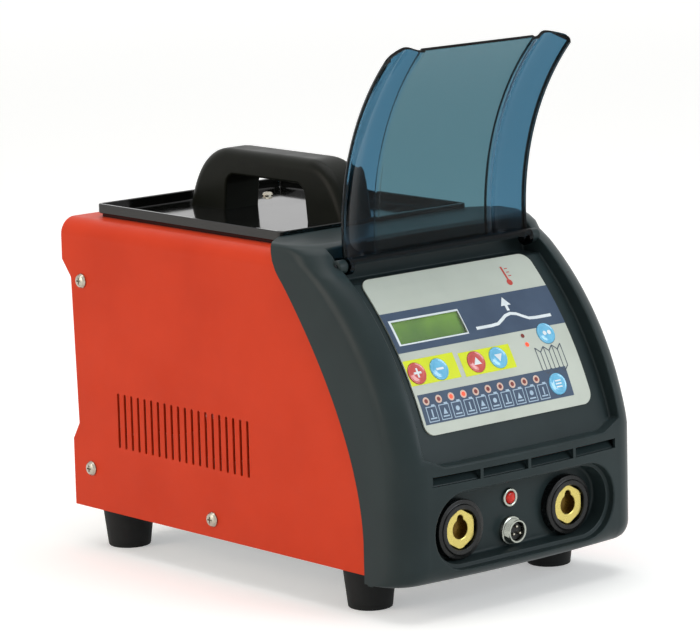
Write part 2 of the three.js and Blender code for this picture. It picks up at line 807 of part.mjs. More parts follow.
function buildBezel() {
  const inner = frontBlock(mouldWall, bezelDepth + overrun);
  const seam = seamLine(0);
  const lapSpace = prism([
    ...seamLine(-lapDepth - gap), [bezelDepth + overrun, coverTop + gap], [bezelDepth + overrun, footHeight - gap],
    [seamFootDepth - lapDepth - gap, footHeight - gap],
  ], 'x', -coverHalf - gap, coverHalf + gap);
  const innerUnderLip = common(inner, prism([
    ...seam, [seamTopDepth, bezelTop], [-overrun, bezelTop], [-overrun, bezelBottom], [seamFootDepth, bezelBottom],
  ], 'x', -bezelHalf, bezelHalf));
  let hollow = join(innerUnderLip, lapSpace);
  hollow = cut(hollow, panelRecess(mouldWall), socketRecess(mouldWall));
  const behindSeam = prism([
    [seamFootDepth, bezelBottom - overrun], ...seam,
    [bezelDepth + overrun, coverTop + gap], [bezelDepth + overrun, bezelBottom - overrun],
  ], 'x', -bezelHalf - overrun, bezelHalf + overrun);
  const lipCorners = [-1, 1].map((side) => prism([
    [side * bezelHalf, seamTopDepth],
    [side * (bezelHalf - lipCornerWidth), bezelDepth],
    [side * (bezelHalf - lipCornerWidth), bezelDepth + overrun],
    [side * (bezelHalf + overrun), bezelDepth + overrun],
    [side * (bezelHalf + overrun), seamTopDepth],
  ], 'z', coverTop + gap, bezelTop + overrun));
  let shell = cut(frontBlock(0, bezelDepth), hollow, behindSeam, ...lipCorners);
  shell = cut(shell, panelRecess(0), socketRecess(0), ...airSlots());
  const bosses = [-1, 1].map((side) => {
    const face = side * (recessHalf - hingeBossLength);
    const root = side * (recessHalf + mouldWall / 2);
    return rod(hingeBossDiameter, 'x', Math.min(face, root), Math.max(face, root), hingeDepth, hingeHeight);
  });
  shell = join(shell, ...bosses, ...boardPosts(boardPostDiameter, gap - boardDepth));
  const boreHalf = recessHalf + mouldWall + gap;
  const hingeBore = rod(2 * pinClear, 'x', -boreHalf, boreHalf, hingeDepth, hingeHeight, coarse);
  const keyHoles = keys.map(([, across, down]) => onPanel(
    rod(keyStemDiameter + 2 * gap, 'z', -boardDepth, gap, 0, 0, coarse), across, down));
  const lampSlot = onPanel(box(-lampRowWidth / 2 - lampWidth, lampRowWidth / 2 + lampWidth,
    -lampWidth / 2 - lampSlotMargin, lampWidth / 2 + lampSlotMargin, -boardDepth, gap), lampRowAcross, lampRowDown);
  const modeHalf = modeLampPitch / 2 + lampWidth;
  const modeSlot = onPanel(box(-lampWidth / 2 - lampSlotMargin, lampWidth / 2 + lampSlotMargin,
    -modeHalf, modeHalf, -boardDepth, gap), modeLampAcross, modeLampFirstDown + modeLampPitch / 2);
  const displayHole = onPanel(box(-displayWidth / 2 - gap, displayWidth / 2 + gap,
    -displayHeight / 2 - gap, displayHeight / 2 + gap, -boardDepth, gap), windowAcross, windowDown);
  const socketHoles = [-1, 1].map((side) => rod(insulatorNeckDiameter + 2 * gap, 'y', 0,
    recessFloorDepth + 2 * mouldWall, side * socketSpread, recessCentreHeight - socketDrop));
  const pilotHole = rod(pilotNeckDiameter + 2 * gap, 'y', 0, recessFloorDepth + 2 * mouldWall,
    0, bezelBottom + pilotRise);
  const connectorHole = rod(connectorShellDiameter + 2 * gap, 'y', 0, recessFloorDepth + 2 * mouldWall,
    0, bezelBottom + connectorRise);
  return cut(shell, hingeBore, ...keyHoles, lampSlot, modeSlot, displayHole, ...socketHoles, pilotHole,
    connectorHole);
}

add('front_bezel', buildBezel(), greyMould);

// Cover

function coverSection(half, top, radius) {
  const shape = new THREE.Shape();
  const inner = radius - sheet;
  shape.moveTo(-half, footHeight);
  shape.lineTo(-half + sheet, footHeight);
  shape.lineTo(-half + sheet, top - radius);
  shape.absarc(-half + radius, top - radius, inner, turn / 2, turn / 4, true);
  shape.lineTo(half - radius, top - sheet);
  shape.absarc(half - radius, top - radius, inner, turn / 4, 0, true);
  shape.lineTo(half - sheet, footHeight);
  shape.lineTo(half, footHeight);
  shape.lineTo(half, top - radius);
  shape.absarc(half - radius, top - radius, radius, 0, turn / 4, false);
  shape.lineTo(-half + radius, top);
  shape.absarc(-half + radius, top - radius, radius, turn / 4, turn / 2, false);
  return shape;
}

const handleScrewPlaces = [-1, 1].map((side) => handleCentreDepth + side * handleScrewSpread / 2);
const trayScrewPlaces = [-1, 1].map((end) => [trayScrewAcross, handleCentreDepth + end * trayScrewSpreadY / 2]);

function buildCover() {
  const frontStart = seamFootDepth - lapDepth;
  const shoulderDepth = coverRearDepth + rearShoulderReach;
  const body = prism(coverSection(coverHalf, coverTop, bendRadius), 'y', frontStart, shoulderDepth, few);
  const inFront = prism([
    [-overrun, footHeight - overrun], [frontStart, footHeight - overrun], ...seamLine(-lapDepth),
    [seamTopDepth - lapDepth, coverTop + overrun], [-overrun, coverTop + overrun],
  ], 'x', -coverHalf - overrun, coverHalf + overrun);
  const notchFloor = coverRearDepth - rearNotchDepth;
  const low = footHeight + rearNotchBottom;
  const high = low + rearNotchHeight;
  const behind = prism([
    [shoulderDepth + overrun, footHeight - overrun], [coverRearDepth, footHeight - overrun],
    [coverRearDepth, low], [notchFloor, low + rearNotchSlope],
    [notchFloor + rearNotchLean, high - rearNotchSlope], [shoulderDepth, high],
    [shoulderDepth + overrun, high],
  ], 'x', -coverHalf - overrun, coverHalf + overrun);
  const vents = Array.from({ length: slotCount }, (_, i) => {
    const depth = slotFirstDepth + i * slotPitch;
    return box(-coverHalf - overrun, coverHalf + overrun, depth - slotWidth / 2, depth + slotWidth / 2,
      footHeight + slotBottom, footHeight + slotBottom + slotHeight);
  });
  const screwHoles = caseScrewPlaces.map(([depth, height]) => rod(
    caseScrewDiameter + 2 * gap, 'x', -coverHalf - overrun, coverHalf + overrun, depth, height, coarse));
  const handleHoles = handleScrewPlaces.map((depth) => rod(
    handleScrewDiameter + 2 * gap, 'z', coverTop - overrun, coverTop + overrun, 0, depth, coarse));
  const trayHoles = trayScrewPlaces.map(([across, depth]) => rod(
    trayScrewDiameter + 2 * gap, 'z', coverTop - overrun, coverTop + overrun, across, depth, coarse));
  return cut(body, inFront, behind, ...vents, ...screwHoles, ...handleHoles, ...trayHoles);
}

add('cover', buildCover(), redPaint);

// Control film, window, keys and the display board

function buildFilm() {
  const sheetArc = prism([...panelArc(0, panelLength, 0), ...panelArc(panelLength, 0, filmThickness)],
    'x', -panelWidth / 2, panelWidth / 2);
  const chord = panelRadius * Math.sin(panelHalfAngle);
  const frame = prism(roundedRectangle(-panelWidth / 2, panelWidth / 2, -chord, chord, panelCornerRadius),
    'z', -boardDepth, boardDepth, few);
  const window = box(-windowWidth / 2 - gap, windowWidth / 2 + gap, -windowHeight / 2 - gap,
    windowHeight / 2 + gap, -boardDepth, boardDepth);
  const keyHoles = keys.map(([, across, down]) => onPanel(
    rod(keyDiameter + 2 * gap, 'z', -boardDepth, boardDepth), across, down));
  return cut(common(sheetArc, onPanel(frame, 0, panelLength / 2)),
    onPanel(window, windowAcross, windowDown), ...keyHoles);
}

add('membrane_panel', buildFilm(), film);

const windowTop = windowDown - windowHeight / 2;
const windowBottom = windowDown + windowHeight / 2;
add('display_window', prism(
  [...panelArc(windowTop, windowBottom, 0, few), ...panelArc(windowBottom, windowTop, filmThickness, few)],
  'x', windowAcross - windowWidth / 2, windowAcross + windowWidth / 2), clearFilm);

const switchTop = switchHeight - boardDepth;
for (const [name, across, down, look] of keys) {
  const lean = (down - panelLength / 2) / panelRadius;
  const reach = (-panelDrop(down) - switchTop - keyTravel - gap) / Math.cos(lean);
  const key = join(
    rod(keyDiameter, 'z', keyProud - keyThickness, keyProud),
    rod(keyStemDiameter, 'z', -reach, keyProud - keyThickness / 2, 0, 0, coarse));
  const mesh = add(name, key, look);
  mesh.applyMatrix4(panelFrame(across, down));
}

const panelBack = new THREE.Group();
panelBack.applyMatrix4(panelFrame(0, panelLength / 2));
welder.add(panelBack);

const boardMiddle = -boardDepth - boardThickness / 2;

function lampBlock(across, down) {
  const v = alongTangent(down);
  const top = -panelDrop(down) - floorInward - gap;
  return box(across - lampWidth / 2, across + lampWidth / 2, v - lampWidth / 2, v + lampWidth / 2,
    boardMiddle, top);
}

function buildBoard() {
  const card = box(-boardWidth / 2, boardWidth / 2, -boardHeight / 2, boardHeight / 2,
    -boardDepth - boardThickness, -boardDepth);
  const lamps = Array.from({ length: lampCount }, (_, i) => lampBlock(lampFirstAcross + i * lampPitch, lampRowDown));
  const modeLamps = [0, 1].map((i) => lampBlock(modeLampAcross, modeLampFirstDown + i * modeLampPitch));
  const switches = keys.map(([, across, down]) => {
    const v = alongTangent(down);
    return box(across - switchWidth / 2, across + switchWidth / 2, v - switchWidth / 2, v + switchWidth / 2,
      boardMiddle, switchTop);
  });
  return join(card, ...lamps, ...modeLamps, ...switches);
}

add('display_board', buildBoard(), boardGreen, panelBack);

const displayV = alongTangent(windowDown);
add('lcd_module', box(windowAcross - displayWidth / 2, windowAcross + displayWidth / 2,
  displayV - displayHeight / 2, displayV + displayHeight / 2, -boardDepth + gap, -displayFaceDepth),
displayGreen, panelBack);

// Visor: sections across the width, swept along an arc; ears and a curled root carry it on the hinge pins

const visorCentre = [hingeDepth + visorStandoff - visorRadius, hingeHeight + visorCentreRise];

// A flat middle, a raised band along each side, and a shoulder that falls from the band to the edge
function visorSection(angle) {
  const half = visorWidth / 2;
  const middle = half - visorBandWidth;
  const t = visorThickness;
  const crestRadius = visorRadius + visorBandRaise;
  const fall = visorShoulderDrop / visorShoulderRun;
  const inner = [
    [middle, visorRadius + visorMiddleRaise], [middle + visorRiserRun, crestRadius],
    [half - visorShoulderRun, crestRadius], [half - t, crestRadius - fall * (visorShoulderRun - t)],
  ];
  const outer = [...inner.slice(0, -1).map(([x, radius]) => [x, radius + t]),
    [half, crestRadius + t - visorShoulderDrop]];
  const edgeRadius = crestRadius + t - visorShoulderDrop - visorEdgeDepth;
  const right = [...inner, [half - t, edgeRadius], [half, edgeRadius], ...outer.reverse()];
  const left = right.map(([x, radius]) => [-x, radius]).reverse();
  return [...right, ...left].map(([x, radius]) => [
    x, visorCentre[0] + radius * Math.cos(angle), visorCentre[1] + radius * Math.sin(angle)]);
}

function buildVisor() {
  const root = THREE.MathUtils.degToRad(visorRootAngle);
  const tip = THREE.MathUtils.degToRad(visorTipAngle);
  const steps = coarse;
  const rings = Array.from({ length: steps + 1 }, (_, i) => visorSection(root + (tip - root) * i / steps));
  const flap = loft(rings, [0, 1]);
  const half = visorWidth / 2;
  const rootHeight = visorCentre[1] + visorRadius * Math.sin(root);
  const rootDepth = visorCentre[0] + visorRadius * Math.cos(root);
  const sill = box(-half, half, rootDepth, rootDepth + visorBandRaise + visorThickness,
    rootHeight - visorThickness / 2, rootHeight + visorThickness / 4);
  const curlOuter = visorEarRadius;
  const curlInner = visorEarRadius - visorThickness;
  const [curlStart, curlEnd] = curlShares.map((share) => turn * share);
  const curlArc = (radius, from, to) => Array.from({ length: sparse + 1 }, (_, i) => {
    const angle = from + (to - from) * i / sparse;
    return [hingeDepth + radius * Math.cos(angle), hingeHeight + radius * Math.sin(angle)];
  });
  const curl = prism([...curlArc(curlOuter, curlStart, curlEnd), ...curlArc(curlInner, curlEnd, curlStart)],
    'x', -half, half);
  const ears = [-1, 1].map((side) => {
    const edges = [side * half, side * (half - visorEarWidth)].sort((a, b) => a - b);
    const eye = rod(2 * visorEarRadius, 'x', ...edges, hingeDepth, hingeHeight);
    const web = box(...edges, hingeDepth - visorWebSetback, rootDepth + visorThickness,
      hingeHeight, rootHeight + 2 * visorThickness);
    return join(eye, web);
  });
  const pinSpace = rod(2 * pinClear, 'x', -half - overrun, half + overrun, hingeDepth, hingeHeight, coarse);
  return cut(join(flap, sill, curl, ...ears), pinSpace);
}

add('visor', buildVisor(), smokeBlue);

for (const [name, side] of [['hinge_pin_left', -1], ['hinge_pin_right', 1]]) {
  const headFace = visorWidth / 2 - visorEarWidth - gap;
  const shankEnds = [side * headFace, side * (recessHalf + mouldWall)].sort((a, b) => a - b);
  const shank = rod(hingePinDiameter, 'x', ...shankEnds, hingeDepth, hingeHeight, coarse);
  const headEnds = [side * headFace, side * (headFace - hingePinHeadLength)].sort((a, b) => a - b);
  add(name, join(shank, rod(hingePinHeadDiameter, 'x', ...headEnds, hingeDepth, hingeHeight, coarse)), steel);
}

// Weld sockets, pilot lamp and gun connector; stations run from the recess floor, minus towards the user

const floorDepth = recessFloorDepth;
const socketHeight = recessCentreHeight - socketDrop;
const brassFace = floorDepth - insulatorProud + brassSetback;
for (const [side, place] of [['left', -1], ['right', 1]]) {
  const x = place * socketSpread;
  const insulator = cut(
    join(
      rod(insulatorDiameter, 'y', floorDepth - insulatorProud, floorDepth, x, socketHeight, smooth),
      rod(insulatorNeckDiameter, 'y', floorDepth - insulatorProud / 2, floorDepth + insulatorNeckLength,
        x, socketHeight, smooth)),
    rod(brassDiameter + 2 * gap, 'y', floorDepth - overrun, floorDepth + overrun, x, socketHeight, smooth));
  add(`socket_${side}_insulator`, insulator, blackMould);
  const brassEnd = brassFace + brassLength;
  const body = join(
    rod(brassDiameter, 'y', brassFace, brassEnd, x, socketHeight, smooth),
    rod(studDiameter, 'y', brassEnd - brassSetback, brassEnd + studLength, x, socketHeight));
  const bore = rod(brassBore, 'y', brassFace - overrun, brassFace + brassBoreDepth, x, socketHeight);
  const keyway = box(x - keywayWidth / 2, x + keywayWidth / 2, brassFace - overrun, brassFace + brassBoreDepth,
    socketHeight, socketHeight + brassBore / 2 + keywayHeight);
  add(`socket_${side}_brass`, cut(body, bore, keyway), brass);
}

const pilotHeight = bezelBottom + pilotRise;
add('pilot_lamp_ring', cut(
  join(
    rod(pilotRingDiameter, 'y', floorDepth - pilotProud, floorDepth, 0, pilotHeight),
    rod(pilotNeckDiameter, 'y', floorDepth - pilotProud / 2, floorDepth + pilotNeckLength, 0, pilotHeight)),
  rod(pilotLensDiameter + 2 * gap, 'y', floorDepth - overrun, floorDepth + overrun, 0, pilotHeight)), chrome);
add('pilot_lamp_lens', rod(pilotLensDiameter, 'y', floorDepth - pilotProud + pilotLensSetback,
  floorDepth + pilotNeckLength, 0, pilotHeight), lensRed);

const connectorHeight = bezelBottom + connectorRise;
const connectorFront = floorDepth - connectorProud;
add('connector_shell', cut(
  join(
    rod(connectorShellDiameter, 'y', connectorFront, floorDepth + connectorNeckLength, 0, connectorHeight, smooth),
    rod(connectorFlangeDiameter, 'y', floorDepth - connectorFlangeThickness, floorDepth, 0, connectorHeight,
      smooth)),
  rod(connectorShellBore, 'y', floorDepth - overrun, floorDepth + overrun, 0, connectorHeight, smooth)), chrome);
const insertFace = connectorFront + connectorInsertSetback;
const pins = Array.from({ length: connectorPinCount }, (_, i) => {
  const angle = turn / 4 + turn * i / connectorPinCount;
  const x = connectorPinCircle / 2 * Math.cos(angle);
  const z = connectorHeight + connectorPinCircle / 2 * Math.sin(angle);
  return rod(connectorPinDiameter, 'y', insertFace - connectorPinLength,
    floorDepth + connectorNeckLength + 2 * connectorPinLength, x, z, sparse);
});
add('connector_insert', join(
  rod(connectorShellBore - 2 * gap, 'y', insertFace, floorDepth + connectorNeckLength + connectorPinLength,
    0, connectorHeight, smooth), ...pins), blackMould);

// Tray and handle

const trayEnd = trayDepthStart + trayLength;
const trayHalf = trayWidth / 2;
add('tray', cut(
  prism(roundedRectangle(-trayHalf, trayHalf, trayDepthStart, trayEnd, trayCornerRadius), 'z',
    trayBottom, trayTop, few),
  prism(roundedRectangle(-trayHalf + trayWall, trayHalf - trayWall, trayDepthStart + trayWall, trayEnd - trayWall,
    trayCornerRadius - trayWall), 'z', trayBottom + trayFloor, trayTop + overrun, few),
  ...handleScrewPlaces.map((depth) => rod(handleScrewDiameter + 2 * gap, 'z', trayBottom - overrun,
    trayTop, 0, depth, coarse)),
  ...trayScrewPlaces.map(([across, depth]) => rod(trayScrewDiameter + 2 * gap, 'z', trayBottom - overrun,
    trayTop, across, depth, coarse))), trayGloss);

// The arch is drawn for the rear half and mirrored, so both ends share their sizes.
function buildHandle() {
  const foot = trayBottom + trayFloor;
  const top = foot + handleHeight;
  const grip = top - handleGripThickness;
  const half = handleLength / 2;
  const gripHalf = handleGripLength / 2;
  const crown = half - handleShoulderRun;
  const [nearShare, farShare] = gripCornerShares;
  const at = (along, height) => new THREE.Vector2(handleCentreDepth + along, height);
  const rise = (side) => new THREE.CubicBezierCurve(
    at(side * half, foot), at(side * (half - handleCornerRadius), foot + archRiseShare * handleHeight),
    at(side * (half - archCrownShare * handleShoulderRun), top), at(side * crown, top)).getPoints(sparse);
  const hole = (side) => [
    at(side * gripHalf, foot), at(side * (gripHalf - nearShare * handleCornerRadius), grip - handleCornerRadius),
    at(side * (gripHalf - farShare * handleCornerRadius), grip)];
  const arch = new THREE.Shape([...rise(-1), ...rise(1).reverse(), ...hole(1), ...hole(-1).reverse()]);
  const body = prism(arch, 'x', -handleWidth / 2, handleWidth / 2);
  const holes = handleScrewPlaces.map((depth) => rod(handleScrewDiameter + 2 * gap, 'z', foot - overrun,
    foot + handleScrewReach + gap, 0, depth, coarse));
  return cut(body, ...holes);
}

add('handle', buildHandle(), blackMould);

// Screws

function panScrew(diameter, length, headDiameter, headHeight) {
  const r = diameter / 2;
  const head = headDiameter / 2;
  const screw = turned([
    [0, -length], [r, -length], [r, 0], [head, 0],
    ...screwHeadShares.map(([across, up]) => [across * head, up * headHeight]), [0, headHeight],
  ], 'z', [0, 0, 0], coarse);
  const arm = crossArmShare * headDiameter;
  const slot = crossWidthShare * headDiameter;
  const deep = crossDepthShare * headHeight;
  return cut(screw,
    box(-arm, arm, -slot / 2, slot / 2, headHeight - deep, headHeight + deep),
    box(-slot / 2, slot / 2, -arm, arm, headHeight - deep, headHeight + deep));
}

const caseScrew = toGeometry(
  panScrew(caseScrewDiameter, caseScrewLength, caseScrewHeadDiameter, caseScrewHeadHeight));
const leftFacing = new THREE.Matrix4().makeBasis(
  new THREE.Vector3(0, 0, 1), new THREE.Vector3(0, 1, 0), new THREE.Vector3(-1, 0, 0));
const rightFacing = new THREE.Matrix4().makeBasis(
  new THREE.Vector3(0, 0, -1), new THREE.Vector3(0, 1, 0), new THREE.Vector3(1, 0, 0));
let screwNumber = 0;
for (const [side, facing] of [[-1, leftFacing], [1, rightFacing]]) {
  for (const [depth, height] of caseScrewPlaces) {
    screwNumber += 1;
    add(`side_screw_${screwNumber}`,
      caseScrew.clone().applyMatrix4(facing).translate(side * coverHalf, depth, height), zincSteel);
  }
}

const trayScrew = toGeometry(
  panScrew(trayScrewDiameter, trayScrewLength, trayScrewHeadDiameter, trayScrewHeadHeight));
trayScrewPlaces.forEach(([across, depth], i) => {
  add(`tray_screw_${i + 1}`, trayScrew.clone().translate(across, depth, trayBottom + trayFloor), zincSteel);
});

handleScrewPlaces.forEach((depth, i) => {
  const under = coverTop - sheet;
  add(i === 0 ? 'handle_screw_front' : 'handle_screw_rear', join(
    rod(handleScrewHeadDiameter, 'z', under - handleScrewHeadHeight, under, 0, depth, coarse),
    rod(handleScrewDiameter, 'z', under - handleScrewHeadHeight / 2, trayBottom + trayFloor + handleScrewReach,
      0, depth, coarse)), zincSteel);
});

// Feet

const footPlaces = [];
for (const side of [-1, 1]) {
  for (const depth of [footFrontDepth, footRearDepth]) footPlaces.push([side * footSpread / 2, depth]);
}
footPlaces.forEach(([across, depth], i) => {
  add(`foot_${i + 1}`, turned([
    [0, footCup], [footCupDiameter / 2, footCup], [footCupDiameter / 2, 0], [footBottomDiameter / 2, 0],
    [footTopDiameter / 2, footHeight - footCup], [footTopDiameter / 2, footHeight],
    [footStudDiameter / 2, footHeight], [footStudDiameter / 2, floorTop + footStudLength],
    [0, floorTop + footStudLength],
  ], 'z', [across, depth, 0], medium), rubber);
});

// Floor and rear wall

const panHalf = coverInnerHalf - gap;

function buildPan() {
  const section = [
    [-panHalf, footHeight], [panHalf, footHeight], [panHalf, footHeight + panFlangeHeight],
    [panHalf - sheet, footHeight + panFlangeHeight], [panHalf - sheet, floorTop], [-panHalf + sheet, floorTop],
    [-panHalf + sheet, footHeight + panFlangeHeight], [-panHalf, footHeight + panFlangeHeight],
  ];
  const frontRelief = prism([
    [panFrontDepth - overrun, floorTop], [seamFootDepth, floorTop],
    [seamFootDepth + panFlangeHeight / 2, footHeight + panFlangeHeight],
    [panFrontDepth - overrun, footHeight + panFlangeHeight + overrun],
  ], 'x', -panHalf - overrun, panHalf + overrun);
  const rearRelief = box(-panHalf - overrun, panHalf + overrun, rearWallFront - panFlangeRearInset,
    rearWallBack + overrun, floorTop, footHeight + panFlangeHeight + overrun);
  const screwHole = rod(caseScrewDiameter + 2 * gap, 'x', -panHalf - overrun, panHalf + overrun,
    caseScrewMidDepth, footHeight + caseScrewMidHeight, coarse);
  const studHoles = footPlaces.map(([across, depth]) => rod(footStudDiameter + 2 * gap, 'z',
    footHeight - overrun, footHeight + overrun, across, depth, coarse));
  return cut(prism(section, 'y', panFrontDepth, rearWallBack), frontRelief, rearRelief, screwHole, ...studHoles);
}

add('base_pan', buildPan(), zincSteel);

function buildRearWall() {
  const top = coverTop - sheet - rearWallHeadroom;
  const plateRadius = bendRadius - sheet;
  const outline = new THREE.Shape();
  outline.moveTo(-panHalf, floorTop);
  outline.lineTo(panHalf, floorTop);
  outline.absarc(panHalf - plateRadius, top - plateRadius, plateRadius, 0, turn / 4, false);
  outline.absarc(plateRadius - panHalf, top - plateRadius, plateRadius, turn / 4, turn / 2, false);
  const plate = prism(outline, 'y', rearWallFront, rearWallBack, few);
  const flanges = [-1, 1].map((side) => {
    const edges = [side * panHalf, side * (panHalf - sheet)].sort((a, b) => a - b);
    return box(...edges, rearWallFront - rearFlangeLength, rearWallBack, floorTop, top - plateRadius);
  });
  const screwHoles = caseScrewPlaces.slice(0, 2).map(([depth, height]) => rod(
    caseScrewDiameter + 2 * gap, 'x', -panHalf - overrun, panHalf + overrun, depth, height, coarse));
  const wallFrom = rearWallFront - sheet;
  const wallTo = rearWallBack + sheet;
  return cut(join(plate, ...flanges), ...screwHoles,
    rod(fanBore, 'y', wallFrom, wallTo, fanAcross, fanCentreHeight, smooth),
    box(switchAcross - switchBodyWidth / 2 - gap, switchAcross + switchBodyWidth / 2 + gap, wallFrom, wallTo,
      switchCentreHeight - switchBodyHeight / 2 - gap, switchCentreHeight + switchBodyHeight / 2 + gap),
    rod(glandThreadDiameter + 2 * gap, 'y', wallFrom, wallTo, glandAcross, glandHeight));
}

add('rear_panel', buildRearWall(), zincSteel);

// Fan

const fanHalf = fanSize / 2;

function fanBar(angle, width, reach, y0, y1) {
  const bar = box(-width / 2, width / 2, y0, y1, 0, reach);
  return bar.rotateY(angle).translate(fanAcross, 0, fanCentreHeight);
}

function buildFanFrame() {
  const shell = cut(
    box(fanAcross - fanHalf, fanAcross + fanHalf, fanFront, rearWallFront,
      fanCentreHeight - fanHalf, fanCentreHeight + fanHalf),
    rod(fanBore, 'y', fanFront - sheet, rearWallFront + sheet, fanAcross, fanCentreHeight, smooth));
  const struts = [0, 1, 2].map((i) => fanBar(turn * i / 3, fanSpiderWidth, (fanBore + fanSpiderWidth) / 2,
    fanFront, fanFront + fanSpiderThickness));
  const motor = rod(fanMotorDiameter, 'y', fanFront, fanFront + fanSpiderThickness, fanAcross, fanCentreHeight);
  const shaft = rod(fanShaftDiameter, 'y', fanFront + fanSpiderThickness / 2,
    fanFront + fanSpiderThickness + fanHubLength / 2, fanAcross, fanCentreHeight, coarse);
  return join(shell, ...struts, motor, shaft);
}

function buildFanRotor() {
  const hubFront = fanFront + fanSpiderThickness + gap;
  const hub = rod(fanHubDiameter, 'y', hubFront, hubFront + fanHubLength, fanAcross, fanCentreHeight);
  const root = fanHubDiameter / 2 - fanBladeThickness;
  const reach = fanBladeDiameter / 2 - root;
  const blades = Array.from({ length: fanBladeCount }, (_, i) => {
    const blade = box(-fanBladeThickness / 2, fanBladeThickness / 2, -fanBladeWidth / 2, fanBladeWidth / 2, 0, reach);
    blade.rotateZ(THREE.MathUtils.degToRad(fanBladePitch)).translate(0, 0, root);
    blade.rotateY(turn * i / fanBladeCount);
    return blade.translate(fanAcross, hubFront + fanHubLength / 2, fanCentreHeight);
  });
  const bore = rod(fanShaftDiameter + 2 * gap, 'y', hubFront - sheet, hubFront + fanHubLength / 2 + sheet,
    fanAcross, fanCentreHeight, coarse);
  return cut(join(hub, ...blades), bore);
}

function buildGuard() {
  const back = rearWallBack + guardWire;
  const rings = Array.from({ length: guardRings }, (_, i) => {
    const diameter = guardInnerDiameter + (guardOuterDiameter - guardInnerDiameter) * i / (guardRings - 1);
    return cut(
      rod(diameter + guardWire, 'y', rearWallBack, back, fanAcross, fanCentreHeight),
      rod(diameter - guardWire, 'y', rearWallBack - sheet, back + sheet, fanAcross, fanCentreHeight));
  });
  const reach = guardOuterDiameter / 2 + 2 * guardWire;
  const arms = [0, 1, 2, 3].map((i) => fanBar(turn * (i + 0.5) / 4, guardWire, reach, rearWallBack, back));
  return join(...rings, ...arms);
}

add('fan_frame', buildFanFrame(), blackMould);
add('fan_rotor', buildFanRotor(), blackMould);
add('fan_guard', buildGuard(), steel);

// Mains switch

const switchBack = rearWallBack + switchFlangeThickness;
const rockerHalfWidth = switchBodyWidth / 2 - switchWall - gap;

function buildSwitchHousing() {
  const shell = join(
    box(switchAcross - switchFlangeWidth / 2, switchAcross + switchFlangeWidth / 2, rearWallBack, switchBack,
      switchCentreHeight - switchFlangeHeight / 2, switchCentreHeight + switchFlangeHeight / 2),
    box(switchAcross - switchBodyWidth / 2, switchAcross + switchBodyWidth / 2, switchBack - switchBodyDepth,
      switchBack, switchCentreHeight - switchBodyHeight / 2, switchCentreHeight + switchBodyHeight / 2));
  const cavity = box(switchAcross - switchBodyWidth / 2 + switchWall, switchAcross + switchBodyWidth / 2 - switchWall,
    switchBack - switchCavityDepth, switchBack + overrun,
    switchCentreHeight - switchBodyHeight / 2 + switchWall, switchCentreHeight + switchBodyHeight / 2 - switchWall);
  const reach = rockerHalfWidth + rockerTrunnionLength + 2 * gap;
  const pivots = rod(rockerTrunnionDiameter + 2 * gap, 'x', switchAcross - reach, switchAcross + reach,
    switchBack - rockerDepth, switchCentreHeight, coarse);
  return cut(shell, cavity, pivots);
}

add('mains_switch_housing', buildSwitchHousing(), blackMould);

// The rocker's face is a shallow V, so one end lies flush when the other stands out.
function buildRocker() {
  const half = rockerLength / 2;
  const tilt = Math.tan(THREE.MathUtils.degToRad(rockerTilt));
  const [rootDepthShare, rootWidthShare] = rockerRootShares;
  const face = [
    [-rootDepthShare * rockerDepth, -rootWidthShare * half],
    [rockerDepth - gap, -half], [rockerDepth + half * tilt, -half],
    [rockerDepth - gap, 0], [rockerDepth + half * tilt, half], [rockerDepth - gap, half],
    [-rootDepthShare * rockerDepth, rootWidthShare * half],
  ];
  const body = prism(face, 'x', -rockerHalfWidth, rockerHalfWidth);
  const trunnions = rod(rockerTrunnionDiameter, 'x', -rockerHalfWidth - rockerTrunnionLength,
    rockerHalfWidth + rockerTrunnionLength, 0, 0, coarse);
  return join(body, trunnions);
}

const rocker = add('mains_switch_rocker', buildRocker(), blackMould);
rocker.rotation.x = THREE.MathUtils.degToRad(-rockerTilt);
rocker.position.set(switchAcross, switchBack - rockerDepth, switchCentreHeight);

// Cable gland

const glandBody = cut(
  join(
    prism(hexagon(glandHexWidth, glandAcross, glandHeight), 'y', rearWallBack, rearWallBack + glandHexLength),
    rod(glandDomeDiameter, 'y', rearWallBack + glandHexLength / 2, rearWallBack + glandHexLength + glandDomeLength,
      glandAcross, glandHeight),
    rod(glandThreadDiameter, 'y', rearWallBack - glandThreadLength, rearWallBack + glandHexLength / 2,
      glandAcross, glandHeight)),
  rod(glandBore, 'y', rearWallBack - overrun, rearWallBack + overrun, glandAcross, glandHeight));
add('cable_gland', glandBody, blackMould);
add('gland_nut', cut(
  prism(hexagon(glandNutWidth, glandAcross, glandHeight), 'y', rearWallFront - glandNutLength, rearWallFront),
  rod(glandThreadDiameter + 2 * gap, 'y', rearWallFront - overrun, rearWallFront + overrun,
    glandAcross, glandHeight)), blackMould);

// Transformer: laminated core with two windows, primary below, single copper secondary turn above

const coreHalf = coreWidth / 2;
const coreRear = coreDepth + coreStack;
const windowLow = floorTop + (coreHeight - windingHeight) / 2;
const windowHigh = windowLow + windingHeight;
const legHalf = coreLeg;
const windowOuter = coreHalf - coreLeg;

add('transformer_core', cut(
  box(-coreHalf, coreHalf, coreDepth, coreRear, floorTop, floorTop + coreHeight),
  box(-windowOuter, -legHalf, coreDepth - sheet, coreRear + sheet, windowLow, windowHigh),
  box(legHalf, windowOuter, coreDepth - sheet, coreRear + sheet, windowLow, windowHigh)), steel);

function windingRing(low, high, reach) {
  return cut(
    box(-windowOuter + gap, windowOuter - gap, coreDepth - reach, coreRear + reach, low, high),
    box(-legHalf - gap, legHalf + gap, coreDepth - gap, coreRear + gap, low - sheet, high + sheet));
}

const windingSplit = windowLow + primaryShare * windingHeight;
add('primary_coil', windingRing(windowLow + gap, windingSplit - gap, windingReach), enamelWire);

